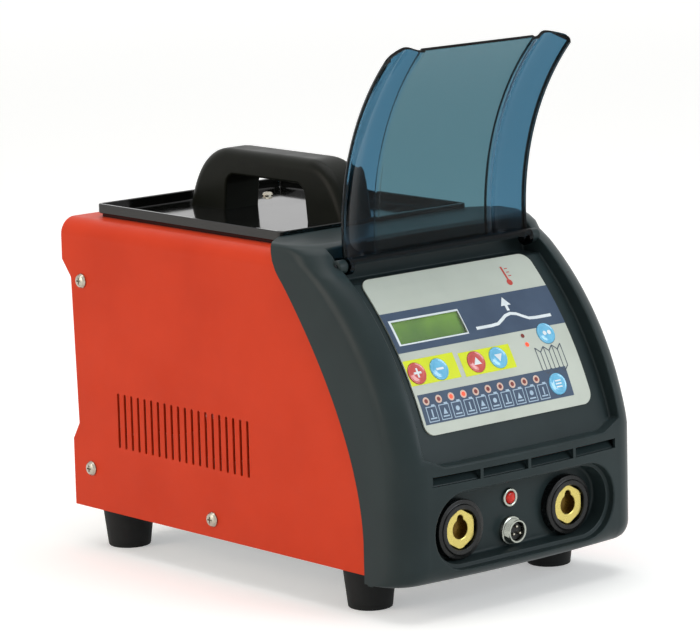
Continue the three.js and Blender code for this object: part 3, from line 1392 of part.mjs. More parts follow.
const secondaryLow = windingSplit + gap;
const secondaryHigh = windowHigh - gap;
const secondaryFront = coreDepth - windingReach;
const tabInner = secondarySlit / 2;

function buildSecondary() {
  const ring = windingRing(secondaryLow, secondaryHigh, windingReach);
  const slit = box(-secondarySlit / 2, secondarySlit / 2, secondaryFront - sheet, coreDepth,
    secondaryLow - sheet, secondaryHigh + sheet);
  const tabs = [-1, 1].map((side) => {
    const edges = [side * tabInner, side * (tabInner + tabWidth)].sort((a, b) => a - b);
    return box(...edges, secondaryFront - tabReach, secondaryFront + barThickness,
      secondaryHigh - barThickness, secondaryHigh);
  });
  return join(cut(ring, slit), ...tabs);
}

add('secondary_winding', buildSecondary(), copper);

// A bar lies on the secondary's tab, runs forward and drops to the socket's stud
const barLow = secondaryHigh;
const barHigh = barLow + barThickness;
const barFront = brassFace + brassLength + studLength / 2;
for (const [name, side] of [['busbar_left', -1], ['busbar_right', 1]]) {
  const inner = side * tabInner;
  const outer = side * (tabInner + barWidth);
  const studX = side * socketSpread;
  const far = studX + side * barWidth / 2;
  const span = (a, b) => [a, b].sort((p, q) => p - q);
  const flat = box(...span(inner, outer), barFront, secondaryFront - barRise, barLow, barHigh);
  const cross = box(...span(inner, far), barFront, barFront + barThickness,
    barLow - barWidth + barThickness, barHigh);
  const drop = box(...span(studX - side * barWidth / 2, far), barFront, barFront + barThickness,
    socketHeight - barWidth / 2, barHigh);
  const studHole = rod(studDiameter + 2 * gap, 'y', barFront - overrun, barFront + overrun, studX, socketHeight);
  add(name, cut(join(flat, cross, drop), studHole), copper);
}

// Power switch on its heat sink, and the power board on the floor's flange

function buildHeatSink() {
  const half = sinkWidth / 2;
  const base = box(-half, half, sinkDepth, sinkDepth + sinkLength, floorTop + sinkHeight - sinkBase,
    floorTop + sinkHeight);
  const fins = Array.from({ length: sinkFins }, (_, i) => {
    const x = -half + sinkFin / 2 + (sinkWidth - sinkFin) * i / (sinkFins - 1);
    return box(x - sinkFin / 2, x + sinkFin / 2, sinkDepth, sinkDepth + sinkLength, floorTop,
      floorTop + sinkHeight - sinkBase / 2);
  });
  return join(base, ...fins);
}

add('heat_sink', buildHeatSink(), aluminium);

function buildModule() {
  const low = floorTop + sinkHeight;
  const y0 = sinkDepth + (sinkLength - moduleLength) / 2;
  const body = box(-moduleWidth / 2, moduleWidth / 2, y0, y0 + moduleLength, low, low + moduleHeight);
  const terminals = [-1, 0, 1].map((i) => {
    const x = i * (moduleWidth / 2 - terminalSize);
    return box(x - terminalSize / 2, x + terminalSize / 2, y0 + (moduleLength - terminalSize) / 2,
      y0 + (moduleLength + terminalSize) / 2, low + moduleHeight - sheet, low + moduleHeight + terminalHeight);
  });
  return join(body, ...terminals);
}

add('thyristor_module', buildModule(), blackMould);

function buildPowerBoard() {
  const flangeFace = panHalf - sheet;
  const x1 = flangeFace - powerBoardStandoff;
  const x0 = x1 - boardThickness;
  const low = floorTop + powerBoardRise;
  const end = powerBoardDepth + powerBoardLength;
  const card = box(x0, x1, powerBoardDepth, end, low, low + powerBoardHeight);
  const legHeight = low + powerBoardRise;
  const standoffs = [powerBoardDepth + powerBoardRise, end - powerBoardRise].map((depth) => rod(
    standoffDiameter, 'x', x0 + boardThickness / 2, flangeFace, depth, legHeight, sparse));
  const componentShares = [[0.2, 0.75, 0.22, 0.2], [0.55, 0.78, 0.18, 0.16], [0.82, 0.6, 0.14, 0.3],
    [0.5, 0.4, 0.2, 0.14]];
  const components = componentShares.map(([lengthShare, heightShare, longShare, tallShare]) => {
    const y = powerBoardDepth + lengthShare * powerBoardLength;
    const z = low + heightShare * powerBoardHeight;
    const halfLong = longShare * powerBoardLength / 2;
    const halfTall = tallShare * powerBoardHeight / 2;
    return box(x0 + boardThickness / 2, x1 + componentDepth, y - halfLong, y + halfLong, z - halfTall, z + halfTall);
  });
  return join(card, ...standoffs, ...components);
}

add('power_board', buildPowerBoard(), boardGreen);

// The model stands on z = 0, with its middle over the origin
const bounds = new THREE.Box3().setFromObject(welder, true);
welder.position.y = -(bounds.min.y + bounds.max.y) / 2;

export default welder;
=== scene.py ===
"""Dent pulling spot welder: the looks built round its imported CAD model.

Places are written in millimetres as across, back and up: across the machine, back from the flat of its front, and
up from the floor.
"""
import math

import bpy
from mathutils import Matrix, Vector


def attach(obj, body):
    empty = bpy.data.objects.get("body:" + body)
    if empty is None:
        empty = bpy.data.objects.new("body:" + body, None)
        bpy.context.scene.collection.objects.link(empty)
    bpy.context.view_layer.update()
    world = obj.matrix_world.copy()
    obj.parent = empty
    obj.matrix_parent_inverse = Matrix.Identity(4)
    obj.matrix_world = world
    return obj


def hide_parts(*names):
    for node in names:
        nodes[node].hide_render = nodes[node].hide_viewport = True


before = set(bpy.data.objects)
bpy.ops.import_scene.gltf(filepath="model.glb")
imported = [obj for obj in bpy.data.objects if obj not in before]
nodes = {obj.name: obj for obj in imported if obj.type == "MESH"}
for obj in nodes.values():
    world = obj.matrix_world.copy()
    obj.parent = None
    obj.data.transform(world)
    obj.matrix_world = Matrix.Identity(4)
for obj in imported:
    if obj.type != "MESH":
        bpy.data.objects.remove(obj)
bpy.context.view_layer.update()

scene = bpy.context.scene
scene.view_settings.view_transform = "Standard"

MIDDLE_BACK = 176.25
FLOOR_UP = -0.0001


def at(across, back, up):
    """A place in the model's frame, in metres, from millimetres."""
    return Vector((across, back - MIDDLE_BACK, up)) / 1000


# Camera: the photograph's place, direction, roll and focal length

CAMERA_PLACE = Vector((-1.70863, -1.96943, 0.63523))
CAMERA_YAW = 0.7159
CAMERA_PITCH = 0.1784
CAMERA_ROLL = -0.0253
FOCAL_PIXELS = 3876.16
IMAGE_WIDTH = 700
SENSOR_WIDTH = 36

forward = Vector((math.sin(CAMERA_YAW) * math.cos(CAMERA_PITCH), math.cos(CAMERA_YAW) * math.cos(CAMERA_PITCH),
                  -math.sin(CAMERA_PITCH)))
level_right = Vector((math.cos(CAMERA_YAW), -math.sin(CAMERA_YAW), 0))
level_up = level_right.cross(forward)
right = level_right * math.cos(CAMERA_ROLL) + level_up * math.sin(CAMERA_ROLL)
upward = level_up * math.cos(CAMERA_ROLL) - level_right * math.sin(CAMERA_ROLL)
bpy.ops.object.camera_add()
camera = bpy.context.object
camera.name = "photo_camera"
camera.matrix_world = Matrix.Translation(CAMERA_PLACE) @ Matrix((right, upward, -forward)).transposed().to_4x4()
camera.data.sensor_width = SENSOR_WIDTH
camera.data.lens = FOCAL_PIXELS / IMAGE_WIDTH * SENSOR_WIDTH
camera.data.clip_end = 50
scene.camera = camera


# Materials: colours, one node adder, and patterns at their real size

def linear(code):
    """An sRGB hex colour as linear RGBA."""
    shades = [int(code[i:i + 2], 16) / 255 for i in (1, 3, 5)]
    return (*[c / 12.92 if c <= 0.04045 else ((c + 0.055) / 1.055) ** 2.4 for c in shades], 1)


def add_node(tree, kind, inputs=None, **settings):
    """Adds one shader node; an input is a value, or the socket that feeds it."""
    node = tree.nodes.new(kind)
    for name, value in settings.items():
        setattr(node, name, value)
    for name, value in (inputs or {}).items():
        if isinstance(value, bpy.types.NodeSocket):
            tree.links.new(value, node.inputs[name])
        else:
            node.inputs[name].default_value = value
    return node


def new_finish(name, colour, roughness, **sockets):
    """A material with the constants of its finish on the shader's own sockets."""
    material = bpy.data.materials.new(name)
    material.use_nodes = True
    shader = material.node_tree.nodes["Principled BSDF"]
    shader.inputs["Base Color"].default_value = linear(colour)
    shader.inputs["Roughness"].default_value = roughness
    for socket, value in sockets.items():
        shader.inputs[socket.replace("_", " ")].default_value = value
    material.diffuse_color = linear(colour)
    return material, material.node_tree, shader


def pattern_place(tree, size, stretch=(1, 1, 1)):
    """Object coordinates counted in steps of a pattern's size in millimetres."""
    place = add_node(tree, "ShaderNodeTexCoord")
    scale = [1000 / size / side for side in stretch]
    return add_node(tree, "ShaderNodeMapping", {"Vector": place.outputs["Object"], "Scale": scale}).outputs[0]


def moulded_grain(tree, shader, size, depth, stretch=(1, 1, 1)):
    """Fine relief of the surface: grain of a size and a depth in millimetres."""
    noise = add_node(tree, "ShaderNodeTexNoise",
                     {"Vector": pattern_place(tree, size, stretch), "Scale": 1.0, "Detail": 2.0})
    bump = add_node(tree, "ShaderNodeBump", {"Height": noise.outputs[0], "Distance": depth / 1000, "Strength": 1.0})
    tree.links.new(bump.outputs[0], shader.inputs["Normal"])


def drift(tree, shader, size, low, high):
    """Slow change of colour between two hex shades, over patches of a size in millimetres."""
    noise = add_node(tree, "ShaderNodeTexNoise", {"Vector": pattern_place(tree, size), "Scale": 1.0, "Detail": 3.0})
    ramp = add_node(tree, "ShaderNodeValToRGB", {"Fac": noise.outputs[0]})
    ramp.color_ramp.elements[0].position = 0.35
    ramp.color_ramp.elements[1].position = 0.65
    ramp.color_ramp.elements[0].color = linear(low)
    ramp.color_ramp.elements[1].color = linear(high)
    tree.links.new(ramp.outputs[0], shader.inputs["Base Color"])


def uneven_gloss(tree, shader, size, low, high):
    """Roughness that wanders between two values, as handling and moulding leave it."""
    noise = add_node(tree, "ShaderNodeTexNoise", {"Vector": pattern_place(tree, size), "Scale": 1.0, "Detail": 2.0})
    spread = add_node(tree, "ShaderNodeMapRange", {"Value": noise.outputs[0], "From Min": 0.3, "From Max": 0.7,
                                                   "To Min": low, "To Max": high})
    tree.links.new(spread.outputs[0], shader.inputs["Roughness"])


def make_finish(name, colour, roughness, grain=None, drifts=None, gloss=None, **sockets):
    """A finish with its grain (size, depth, stretch), colour drift (size, low, high) and gloss (size, low, high)."""
    material, tree, shader = new_finish(name, colour, roughness, **sockets)
    if grain:
        moulded_grain(tree, shader, *grain)
    if drifts:
        drift(tree, shader, *drifts)
    if gloss:
        uneven_gloss(tree, shader, *gloss)
    return material


def deepen(material, attribute, shades):
    """Colour by a number on the faces: the three shades stand at 0, a half and 1."""
    tree = material.node_tree
    depth = add_node(tree, "ShaderNodeAttribute", attribute_name=attribute)
    ramp = add_node(tree, "ShaderNodeValToRGB", {"Fac": depth.outputs["Fac"]})
    ramp.color_ramp.elements[0].color = linear(shades[0])
    ramp.color_ramp.elements[1].color = linear(shades[2])
    ramp.color_ramp.elements.new(0.5).color = linear(shades[1])
    tree.links.new(ramp.outputs[0], tree.nodes["Principled BSDF"].inputs["Base Color"])


# Polyester powder coat on steel: orange peel of about 2 mm gives the red its soft broken gloss.
powder_coat_red = make_finish("powder_coat_red", "#CA3A1A", 0.4, grain=(2.2, 0.02),
                              drifts=(60, "#C63818", "#CE3D1D"), gloss=(25, 0.36, 0.44), Specular_IOR_Level=0.12)
# Spark-eroded ABS moulding: a fine dull grain keeps wide, soft highlights on the dark grey.
abs_dark_grey = make_finish("abs_dark_grey", "#273132", 0.34, grain=(0.9, 0.01),
                            drifts=(45, "#252F30", "#293435"), gloss=(30, 0.3, 0.38), Specular_IOR_Level=0.14)
# Glass filled nylon handle: satin black with a fine etched grain.
nylon_satin_black = make_finish("nylon_satin_black", "#12140F", 0.36, grain=(0.8, 0.012),
                                drifts=(30, "#10120D", "#151711"), gloss=(20, 0.32, 0.42), Specular_IOR_Level=0.09)
# Polished ABS of the tray: a mirror gloss that shows the room, with faint dust haze.
abs_polished_black = make_finish("abs_polished_black", "#0B0C0B", 0.08, grain=(6, 0.004),
                                 drifts=(40, "#090A09", "#0E0F0D"), gloss=(35, 0.05, 0.12), Specular_IOR_Level=0.4)
# Moulded black thermoset of insulators and inserts: even semi-gloss.
thermoset_black = make_finish("thermoset_black", "#0B0D0D", 0.26, grain=(0.7, 0.008),
                              drifts=(12, "#090B0B", "#0E1010"), gloss=(8, 0.22, 0.32), Specular_IOR_Level=0.3)
# Vulcanised rubber feet: matt, with a slight bloom.
rubber_matt_black = make_finish("rubber_matt_black", "#0F1111", 0.7, grain=(1.2, 0.03),
                                drifts=(10, "#0C0E0E", "#131515"), Specular_IOR_Level=0.25)
# Polycarbonate tinted smoke blue: light passes through, and the gloss wanders a little over the sheet.
polycarbonate_smoke = make_finish("polycarbonate_smoke", "#507783", 0.03, grain=(80, 0.002),
                                  gloss=(30, 0.02, 0.05), Transmission_Weight=1.0, IOR=1.2)
# Painted shade: faces that turn away from the sheet, on its edges and risers, are coloured near black for the dark look
# light gives them; the bands beyond the risers take a slightly deeper tint.
deepen(polycarbonate_smoke, "edge_shade_and_band_tint", ("#507783", "#42708A", "#0A1418"))
# Screen-printed polyester film: silvery cream face, fine matt texture that spreads reflections.
polyester_film = make_finish("polyester_film", "#C4CABE", 0.35, grain=(0.7, 0.006),
                             drifts=(35, "#C1C7BB", "#C8CEC2"), Specular_IOR_Level=0.3)
# Clear polyester window over the display: nearly invisible but for its gloss.
clear_window = make_finish("clear_window", "#E8F0E8", 0.05, grain=(20, 0.002), gloss=(10, 0.03, 0.08), Alpha=0.05)


def printed_ink(name, colour, low, high, patch=9, **sockets):
    """Screen-printed ink: it takes the film's fine matt grain, and its shade drifts a little over each field."""
    return make_finish(name, colour, 0.4, grain=(0.7, 0.005), drifts=(patch, low, high), **sockets)


ink_blue_grey = printed_ink("ink_blue_grey", "#3D4F66", "#3A4C63", "#41536A", 20, Specular_IOR_Level=0.3)
ink_yellow = printed_ink("ink_yellow", "#DDE808", "#D9E400", "#E1EC12", 20)
ink_pink_cream = printed_ink("ink_pink_cream", "#D8B8A6", "#D4B3A1", "#DCBDAC")
ink_white = printed_ink("ink_white", "#E6EEF0", "#E0E8EA", "#ECF2F4")
ink_pale_blue = printed_ink("ink_pale_blue", "#A9BFD2", "#A2B9CD", "#B0C6D8")
ink_red = printed_ink("ink_red", "#C0392B", "#B93427", "#C74033")
ink_dark = printed_ink("ink_dark", "#33404F", "#303C4B", "#384656")
# Embossed polyester keys: glossy domes over printed colour.
key_gloss_red = make_finish("key_gloss_red", "#C9342C", 0.18, grain=(5, 0.006), drifts=(8, "#C4302A", "#CE3A30"),
                            Coat_Weight=1.0, Coat_Roughness=0.05)
key_gloss_blue = make_finish("key_gloss_blue", "#5AB9E1", 0.18, grain=(5, 0.006), drifts=(8, "#54B3DC", "#62BFE6"),
                             Coat_Weight=1.0, Coat_Roughness=0.05)
# Light emitting diodes under the film: dark red when off, bright when on.
diode_off = make_finish("diode_off", "#7A1F18", 0.3, grain=(1, 0.004), drifts=(2, "#72190F", "#842A20"))
diode_lit = make_finish("diode_lit", "#E0442A", 0.3, grain=(1, 0.004), Emission_Color=linear("#FF5A30"),
                        Emission_Strength=0.6)
# Reflective liquid crystal display: yellow green, lighter and darker in patches.
lcd_green = make_finish("lcd_green", "#55830F", 0.25, grain=(0.8, 0.004), drifts=(30, "#4A790C", "#6F9E1E"),
                        Specular_IOR_Level=0.2)
# Moulded red polycarbonate lens: deep colour with a wet gloss.
lens_red = make_finish("lens_red", "#D5200E", 0.12, grain=(1.2, 0.02), drifts=(3, "#C81A0A", "#E22C18"),
                       Specular_IOR_Level=0.3)
# Chromed brass: bright, slightly uneven mirror.
chrome_plate = make_finish("chrome_plate", "#A9ADA4", 0.14, grain=(1.5, 0.006), gloss=(4, 0.12, 0.24), Metallic=1.0)
# Black oxide steel of the hinge pins: dark, with sharp small glints.
black_oxide = make_finish("black_oxide", "#34373A", 0.28, grain=(0.6, 0.006), gloss=(2, 0.22, 0.36), Metallic=1.0)
# Nickel-plated screw steel: bright with fine scratches.
nickel_plate = make_finish("nickel_plate", "#AFAA9C", 0.24, grain=(0.6, 0.006), gloss=(2, 0.18, 0.32), Metallic=1.0)
# Zinc-plated sheet: blue-grey spangle.
zinc_plate = make_finish("zinc_plate", "#A9AEB2", 0.4, grain=(1.5, 0.006), drifts=(6, "#9CA2A8", "#B7BBBC"),
                         gloss=(8, 0.34, 0.5), Metallic=1.0)
# Turned brass: pale and bright on the turned faces, with painted shade that darkens it to brown down the bore.
brass_turned = make_finish("brass_turned", "#CFBE6C", 0.3, grain=(0.5, 0.006), gloss=(3, 0.24, 0.36), Metallic=0.8)
deepen(brass_turned, "painted_bore_shade", ("#CFBE6C", "#8A6E26", "#5E4712"))
# Drawn copper and enamelled winding wire.
copper_drawn = make_finish("copper_drawn", "#C4764A", 0.35, grain=(1.0, 0.02, (8, 1, 1)),
                           drifts=(7, "#B96C42", "#D0855A"), gloss=(6, 0.28, 0.42), Metallic=1.0)
# Stacked silicon steel laminations of 0.5 mm, drawn 1 mm thick so that they show.
laminated_steel = make_finish("laminated_steel", "#7C8086", 0.45, grain=(1.0, 0.06, (30, 1, 30)),
                              drifts=(9, "#73777D", "#868A8F"), Metallic=1.0)
# Extruded aluminium: fine lines along the length.
aluminium_extruded = make_finish("aluminium_extruded", "#B9BCBE", 0.35, grain=(0.6, 0.02, (1, 20, 1)),
                                 gloss=(5, 0.28, 0.42), Metallic=1.0)


def printed_board():
    """Green solder resist over copper: darker tracks on a 2.5 mm grid, tinned pads, semi-gloss."""
    material, tree, shader = new_finish("printed_board", "#1F5B38", 0.35)
    cells = add_node(tree, "ShaderNodeTexVoronoi", {"Vector": pattern_place(tree, 2.5), "Scale": 1.0},
                     distance="CHEBYCHEV")
    ramp = add_node(tree, "ShaderNodeValToRGB", {"Fac": cells.outputs["Distance"]})
    ramp.color_ramp.interpolation = "CONSTANT"
    ramp.color_ramp.elements[0].color = linear("#B9BEB4")
    ramp.color_ramp.elements[1].position = 0.12
    ramp.color_ramp.elements[1].color = linear("#1F5B38")
    ramp.color_ramp.elements.new(0.45).color = linear("#174A2C")
    tree.links.new(ramp.outputs[0], shader.inputs["Base Color"])
    moulded_grain(tree, shader, 1.5, 0.02)
    return material


board_resist = printed_board()


# Shaping helpers

MERGE_REACH = 0.00001
FLAT_ANGLE = math.radians(1)


def pick(*pieces):
    """Selects only these pieces; the first is the active one."""
    bpy.ops.object.select_all(action="DESELECT")
    for piece in pieces:
        piece.select_set(True)
    bpy.context.view_layer.objects.active = pieces[0]


def in_edit(*steps):
    """Takes some steps in edit mode, on what is selected in the active piece."""
    bpy.ops.object.mode_set(mode="EDIT")
    for step in steps:
        step()
    bpy.ops.object.mode_set(mode="OBJECT")


def select_all():
    """Selects everything in the active piece."""
    bpy.ops.mesh.select_all(action="SELECT")


def turn_outwards():
    """Turns the selected faces outwards."""
    bpy.ops.mesh.normals_make_consistent(inside=False)


def lay_grid(name, rows):
    """A grid primitive whose points are laid, row by row, on the given places."""
    bpy.ops.object.select_all(action="DESELECT")
    bpy.ops.mesh.primitive_grid_add(x_subdivisions=len(rows[0]) - 1, y_subdivisions=len(rows) - 1)
    piece = bpy.context.object
    piece.name = name
    for vertex, place in zip(piece.data.vertices, (place for row in rows for place in row)):
        vertex.co = at(*place)
    return piece


def weld(name, *pieces, distance=0.02):
    """Joins pieces, merges the points that meet and turns the faces outwards."""
    pick(*pieces)
    if len(pieces) > 1:
        bpy.ops.object.join()
    piece = bpy.context.object
    piece.name = name
    in_edit(select_all, lambda: bpy.ops.mesh.remove_doubles(threshold=distance / 1000), turn_outwards,
            lambda: bpy.ops.mesh.select_all(action="DESELECT"))
    return piece


def clear_selection(piece, mode="EDGE"):
    """Leaves edit mode with nothing selected in the piece, ready to select elements in code."""
    pick(piece)
    in_edit(lambda: bpy.ops.mesh.select_mode(type=mode), lambda: bpy.ops.mesh.select_all(action="DESELECT"))


def apply_modifier(piece, kind, **settings):
    """Adds a modifier and applies it at once."""
    pick(piece)
    modifier = piece.modifiers.new(kind.lower(), kind)
    for name, value in settings.items():
        setattr(modifier, name, value)
    bpy.ops.object.modifier_apply(modifier=modifier.name)


def drop_faces(piece, chosen):
    """Deletes the faces at the chosen places in their order."""
    clear_selection(piece, "FACE")
    for i in chosen:
        piece.data.polygons[i].select = True
    in_edit(lambda: bpy.ops.mesh.delete(type="FACE"))


def faces_inside(piece, inside):
    """The faces whose middles lie inside, by their order."""
    middles = [face.center * 1000 for face in piece.data.polygons]
    return [i for i, middle in enumerate(middles) if inside(middle.x, middle.y + MIDDLE_BACK, middle.z)]


def round_edges(piece, width, angle=35, segments=3):
    """Rounds the edges sharper than an angle, by a width in millimetres."""
    apply_modifier(piece, "BEVEL", width=width / 1000, segments=segments, limit_method="ANGLE",
                   angle_limit=math.radians(angle), miter_outer="MITER_ARC")


def round_sharp(piece, width, inside, angle=42, segments=3):
    """Rounds the sharp edges whose middles lie inside, by a width in millimetres."""
    normals = {}
    for face in piece.data.polygons:
        for key in face.edge_keys:
            normals.setdefault(key, []).append(face.normal.copy())
    clear_selection(piece)
    for edge in piece.data.edges:
        pair = normals.get(edge.key, [])
        ends = [piece.data.vertices[i].co * 1000 for i in edge.vertices]
        middle = (ends[0] + ends[1]) / 2
        edge.select = (len(pair) == 2 and pair[0].angle(pair[1], 0) > math.radians(angle)
                       and inside(middle.x, middle.y + MIDDLE_BACK, middle.z))
    in_edit(lambda: bpy.ops.mesh.bevel(offset=width / 1000, segments=segments, clamp_overlap=False))


def smooth(piece, angle=35, weighted=False):
    """Smooth shading up to an angle; weighted normals keep broad flats flat."""
    pick(piece)
    bpy.ops.object.shade_smooth_by_angle(angle=math.radians(angle))
    if weighted:
        apply_modifier(piece, "WEIGHTED_NORMAL", keep_sharp=True, weight=100)


def fit(piece, finish, slot, *stands_for, body="case", angle=None):
    """Smooths a piece if asked, gives it its material, and lets it ride on its body and stand for nodes; the slot
    argument is not used.
    """
    if angle:
        smooth(piece, angle)
    piece.data.materials.clear()
    piece.data.materials.append(finish)
    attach(piece, body)
    if stands_for:
        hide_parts(*stands_for)
    return piece


def loft(name, rings, cap_start=True, cap_end=True):
    """A skin over closed rings of equally many places, its ends filled."""
    piece = lay_grid(name, [[*ring, ring[0]] for ring in rings])
    count = len(rings[0]) + 1
    for capped, row in ((cap_start, 0), (cap_end, len(rings) - 1)):
        if not capped:
            continue
        clear_selection(piece)
        wanted = set(range(count * row, count * (row + 1)))
        for edge in piece.data.edges:
            edge.select = set(edge.vertices) <= wanted
        in_edit(bpy.ops.mesh.edge_face_add)
    return weld(name, piece)


def merged_copy(node):
    """A copy of a CAD node with its triangles merged and its flats made whole."""
    piece = bpy.data.objects.new(node + "_dressed", nodes[node].data.copy())
    scene.collection.objects.link(piece)
    pick(piece)
    in_edit(lambda: bpy.ops.mesh.select_mode(type="VERT"), select_all,
            lambda: bpy.ops.mesh.remove_doubles(threshold=MERGE_REACH),
            lambda: bpy.ops.mesh.dissolve_limited(angle_limit=FLAT_ANGLE))
    return piece


def refine(node, finish, slot, edge, angle, body):
    """A dressed copy of a CAD node: its edges rounded and its shading smooth."""
    piece = merged_copy(node)
    if edge:
        round_edges(piece, edge, angle, 2)
    smooth(piece, angle + 5, weighted=True)
    return fit(piece, finish, slot, node, body=body)


# CAD nodes that show as they are: each gets its finish

for finish, names in (
        (polyester_film, "membrane_panel"),
        (clear_window, "display_window"),
        (lcd_green, "lcd_module"),
        (thermoset_black, "thyristor_module gland_nut"),
        (nickel_plate, "handle_screw_front handle_screw_rear"),
        (copper_drawn, "primary_coil secondary_winding busbar_left busbar_right"),
        (laminated_steel, "transformer_core"),
        (aluminium_extruded, "heat_sink"),
        (board_resist, "display_board power_board")):
    for name in names.split():
        nodes[name].data.materials.clear()
        nodes[name].data.materials.append(finish)


# Front moulding: a grid of plan sections, set back by the side profile at each height

HALF = 106
CORNER = 20
CORNER_COLUMNS = 8
BOW = 4
BOTTOM, TOP = 23, 237.5
BOTTOM_ROUND = 14
TOP_ROUND = 5
REAR_BACK = 142.2
REAR_HALF = 86
LIP_SLANT = 0.785
MOULDING_WALL = 2.2
RIM_CENTRE = (195.7, 62.9)
RIM_RADIUS = 200
RIM_START = 104
SHOULDER = [(66.1, 214.7), (72, 220), (82, 226.5), (86, 232.1), (93.1, 235.75), (99, 237.5), (106, 238.6)]
PANEL_CENTRE = (237.98, 37.16)
PANEL_RADIUS = 240
PANEL_TOP_ANGLE = math.radians(132.61)
FLOOR_RADIUS = 238.7
RECESS_HALF = 88
LIP_BACK = 91.2
TROUGH_UP = 212
PANEL_LENGTH = 114.7
LEDGE_UP, LEDGE_RISE, LEDGE_BEND = 101, 7, 72


def shoulder(share):
    """A place on the smooth line through the shoulder's inner points, by its share of the way."""
    spans = len(SHOULDER) - 3
    span = min(int(share * spans), spans - 1)
    t = share * spans - span
    return [0.5 * (2 * b + (c - a) * t + (2 * a - 5 * b + 4 * c - d) * t ** 2 + (3 * b - a - 3 * c + d) * t ** 3)
            for a, b, c, d in zip(*SHOULDER[span:span + 4])]


def front_back(up):
    """How far back the front lies at a height, up to the start of the shoulder."""
    if up < BOTTOM + BOTTOM_ROUND:
        return BOTTOM_ROUND - math.sqrt(max(0, BOTTOM_ROUND ** 2 - (BOTTOM + BOTTOM_ROUND - up) ** 2))
    if up < RIM_START:
        return 0
    return max(0, RIM_CENTRE[0] - math.sqrt(RIM_RADIUS ** 2 - (up - RIM_CENTRE[1]) ** 2))


def half_width(up):
    """Half the moulding's width at a height: it rounds in at the top."""
    above = max(0, up - TOP + TOP_ROUND)
    return HALF - TOP_ROUND + math.sqrt(max(0, TOP_ROUND ** 2 - above ** 2))


def face_back(across, back, up):
    """Depth of the outer face: bowed between the corners, round at them."""
    straight = half_width(up) - CORNER
    beyond = abs(across) - straight
    if beyond <= 0:
        return back - BOW * (1 - (across / straight) ** 2)
    return back + CORNER - math.sqrt(max(0, CORNER ** 2 - beyond ** 2))


def bezier(points, t):
    """A place on the curve that a few places pull."""
    while len(points) > 1:
        points = [tuple(a + (b - a) * t for a, b in zip(p, q)) for p, q in zip(points, points[1:])]
    return points[0]


seam = [bezier([(41.5, 50), (43.5, 110), (84.5, 172.1), (116, 211.6)], i / 40) for i in range(41)]
seam += [bezier([(116, 211.6), (126.5, 221.9), (126.5, 231.8)], i / 10) for i in range(1, 11)]


def side_end(up):
    """Where the moulding's side ends, against the cover or at the lip's slanted corner."""
    if up <= seam[0][1]:
        return seam[0][0]
    if up >= seam[-1][1]:
        return seam[-1][0] + (HALF - half_width(up)) * LIP_SLANT
    low, high = next(pair for pair in zip(seam, seam[1:]) if up <= pair[1][1])
    return low[0] + (high[0] - low[0]) * (up - low[1]) / (high[1] - low[1])


def floor_place(down, radius=FLOOR_RADIUS):
    """Back and up of a place on the panel's arc, by the way down from its top edge."""
    angle = PANEL_TOP_ANGLE + down / PANEL_RADIUS
    return PANEL_CENTRE[0] + radius * math.cos(angle), PANEL_CENTRE[1] + radius * math.sin(angle)


def way_down(up):
    """The way down the recess floor at a height."""
    return (math.pi - math.asin((up - PANEL_CENTRE[1]) / FLOOR_RADIUS) - PANEL_TOP_ANGLE) * PANEL_RADIUS


def ledge_up(across):
    """Height of the recess's lower edge: level in the middle, rising at the ends."""
    return LEDGE_UP + LEDGE_RISE * min(1, max(0, (abs(across) - LEDGE_BEND) / (RECESS_HALF - LEDGE_BEND)))


def lip_share(across):
    """The share of the shoulder at which the outer face passes the front of the lip."""
    low, high = 0, 1
    for _ in range(30):
        middle = (low + high) / 2
        back, up = shoulder(middle)
        if face_back(across, back, up) < LIP_BACK:
            low = middle
        else:
            high = middle
    return (low + high) / 2


def outer_row(place, up, middle=(), left=True, right=True):
    """One row of the outer face at a height, from the left side's end round to the right one's."""
    def side(sign):
        """A side and its round corner, from the end at the cover to the recess's edge."""
        straight = half_width(up) - CORNER
        edge = place + CORNER
        end = side_end(up)
        row = [(sign * half_width(up), end + (edge - end) * i / 5, up) for i in range(5)]
        last = math.asin((RECESS_HALF - straight) / CORNER)
        for i in range(CORNER_COLUMNS):
            angle = math.pi / 2 + (last - math.pi / 2) * i / (CORNER_COLUMNS - 1)
            row.append((sign * (straight + CORNER * math.sin(angle)),
                        place + CORNER * (1 - math.cos(angle)), up))
        return row
    return [*(side(-1) if left else []), *[(across, face_back(across, place, up), up) for across in middle],
            *(reversed(side(1)) if right else [])]


SLOT_OUTER, SLOT_NEXT, SLOT_RIB, SLOT_MIDDLE = 82.3, 43.02, 40.52, 1.25
SLOT_BOTTOM, SLOT_TOP, CHIN_TOP = 89, 95.5, 98
DISPLAY_LEFT, DISPLAY_RIGHT = -72, -7.9
DISPLAY_TOP, DISPLAY_BOTTOM = 32.3, 54.3
left_steps = [-RECESS_HALF, -REAR_HALF, -SLOT_OUTER, -77, DISPLAY_LEFT, -65, -58, -51, -SLOT_NEXT, -SLOT_RIB, -33, -25,
              -17, DISPLAY_RIGHT, -SLOT_MIDDLE]
steps_across = left_steps + [-x for x in reversed(left_steps)]
inner_across = steps_across[1:-1]
low_rows = [BOTTOM, 23.3, 24.2, 26]
mid_rows = [26, 28.4, 31, 34, 37, 44, 51, 58, 65, 72, 78.5, 84.5]
top_rows = [84.5, SLOT_BOTTOM, SLOT_TOP, CHIN_TOP]


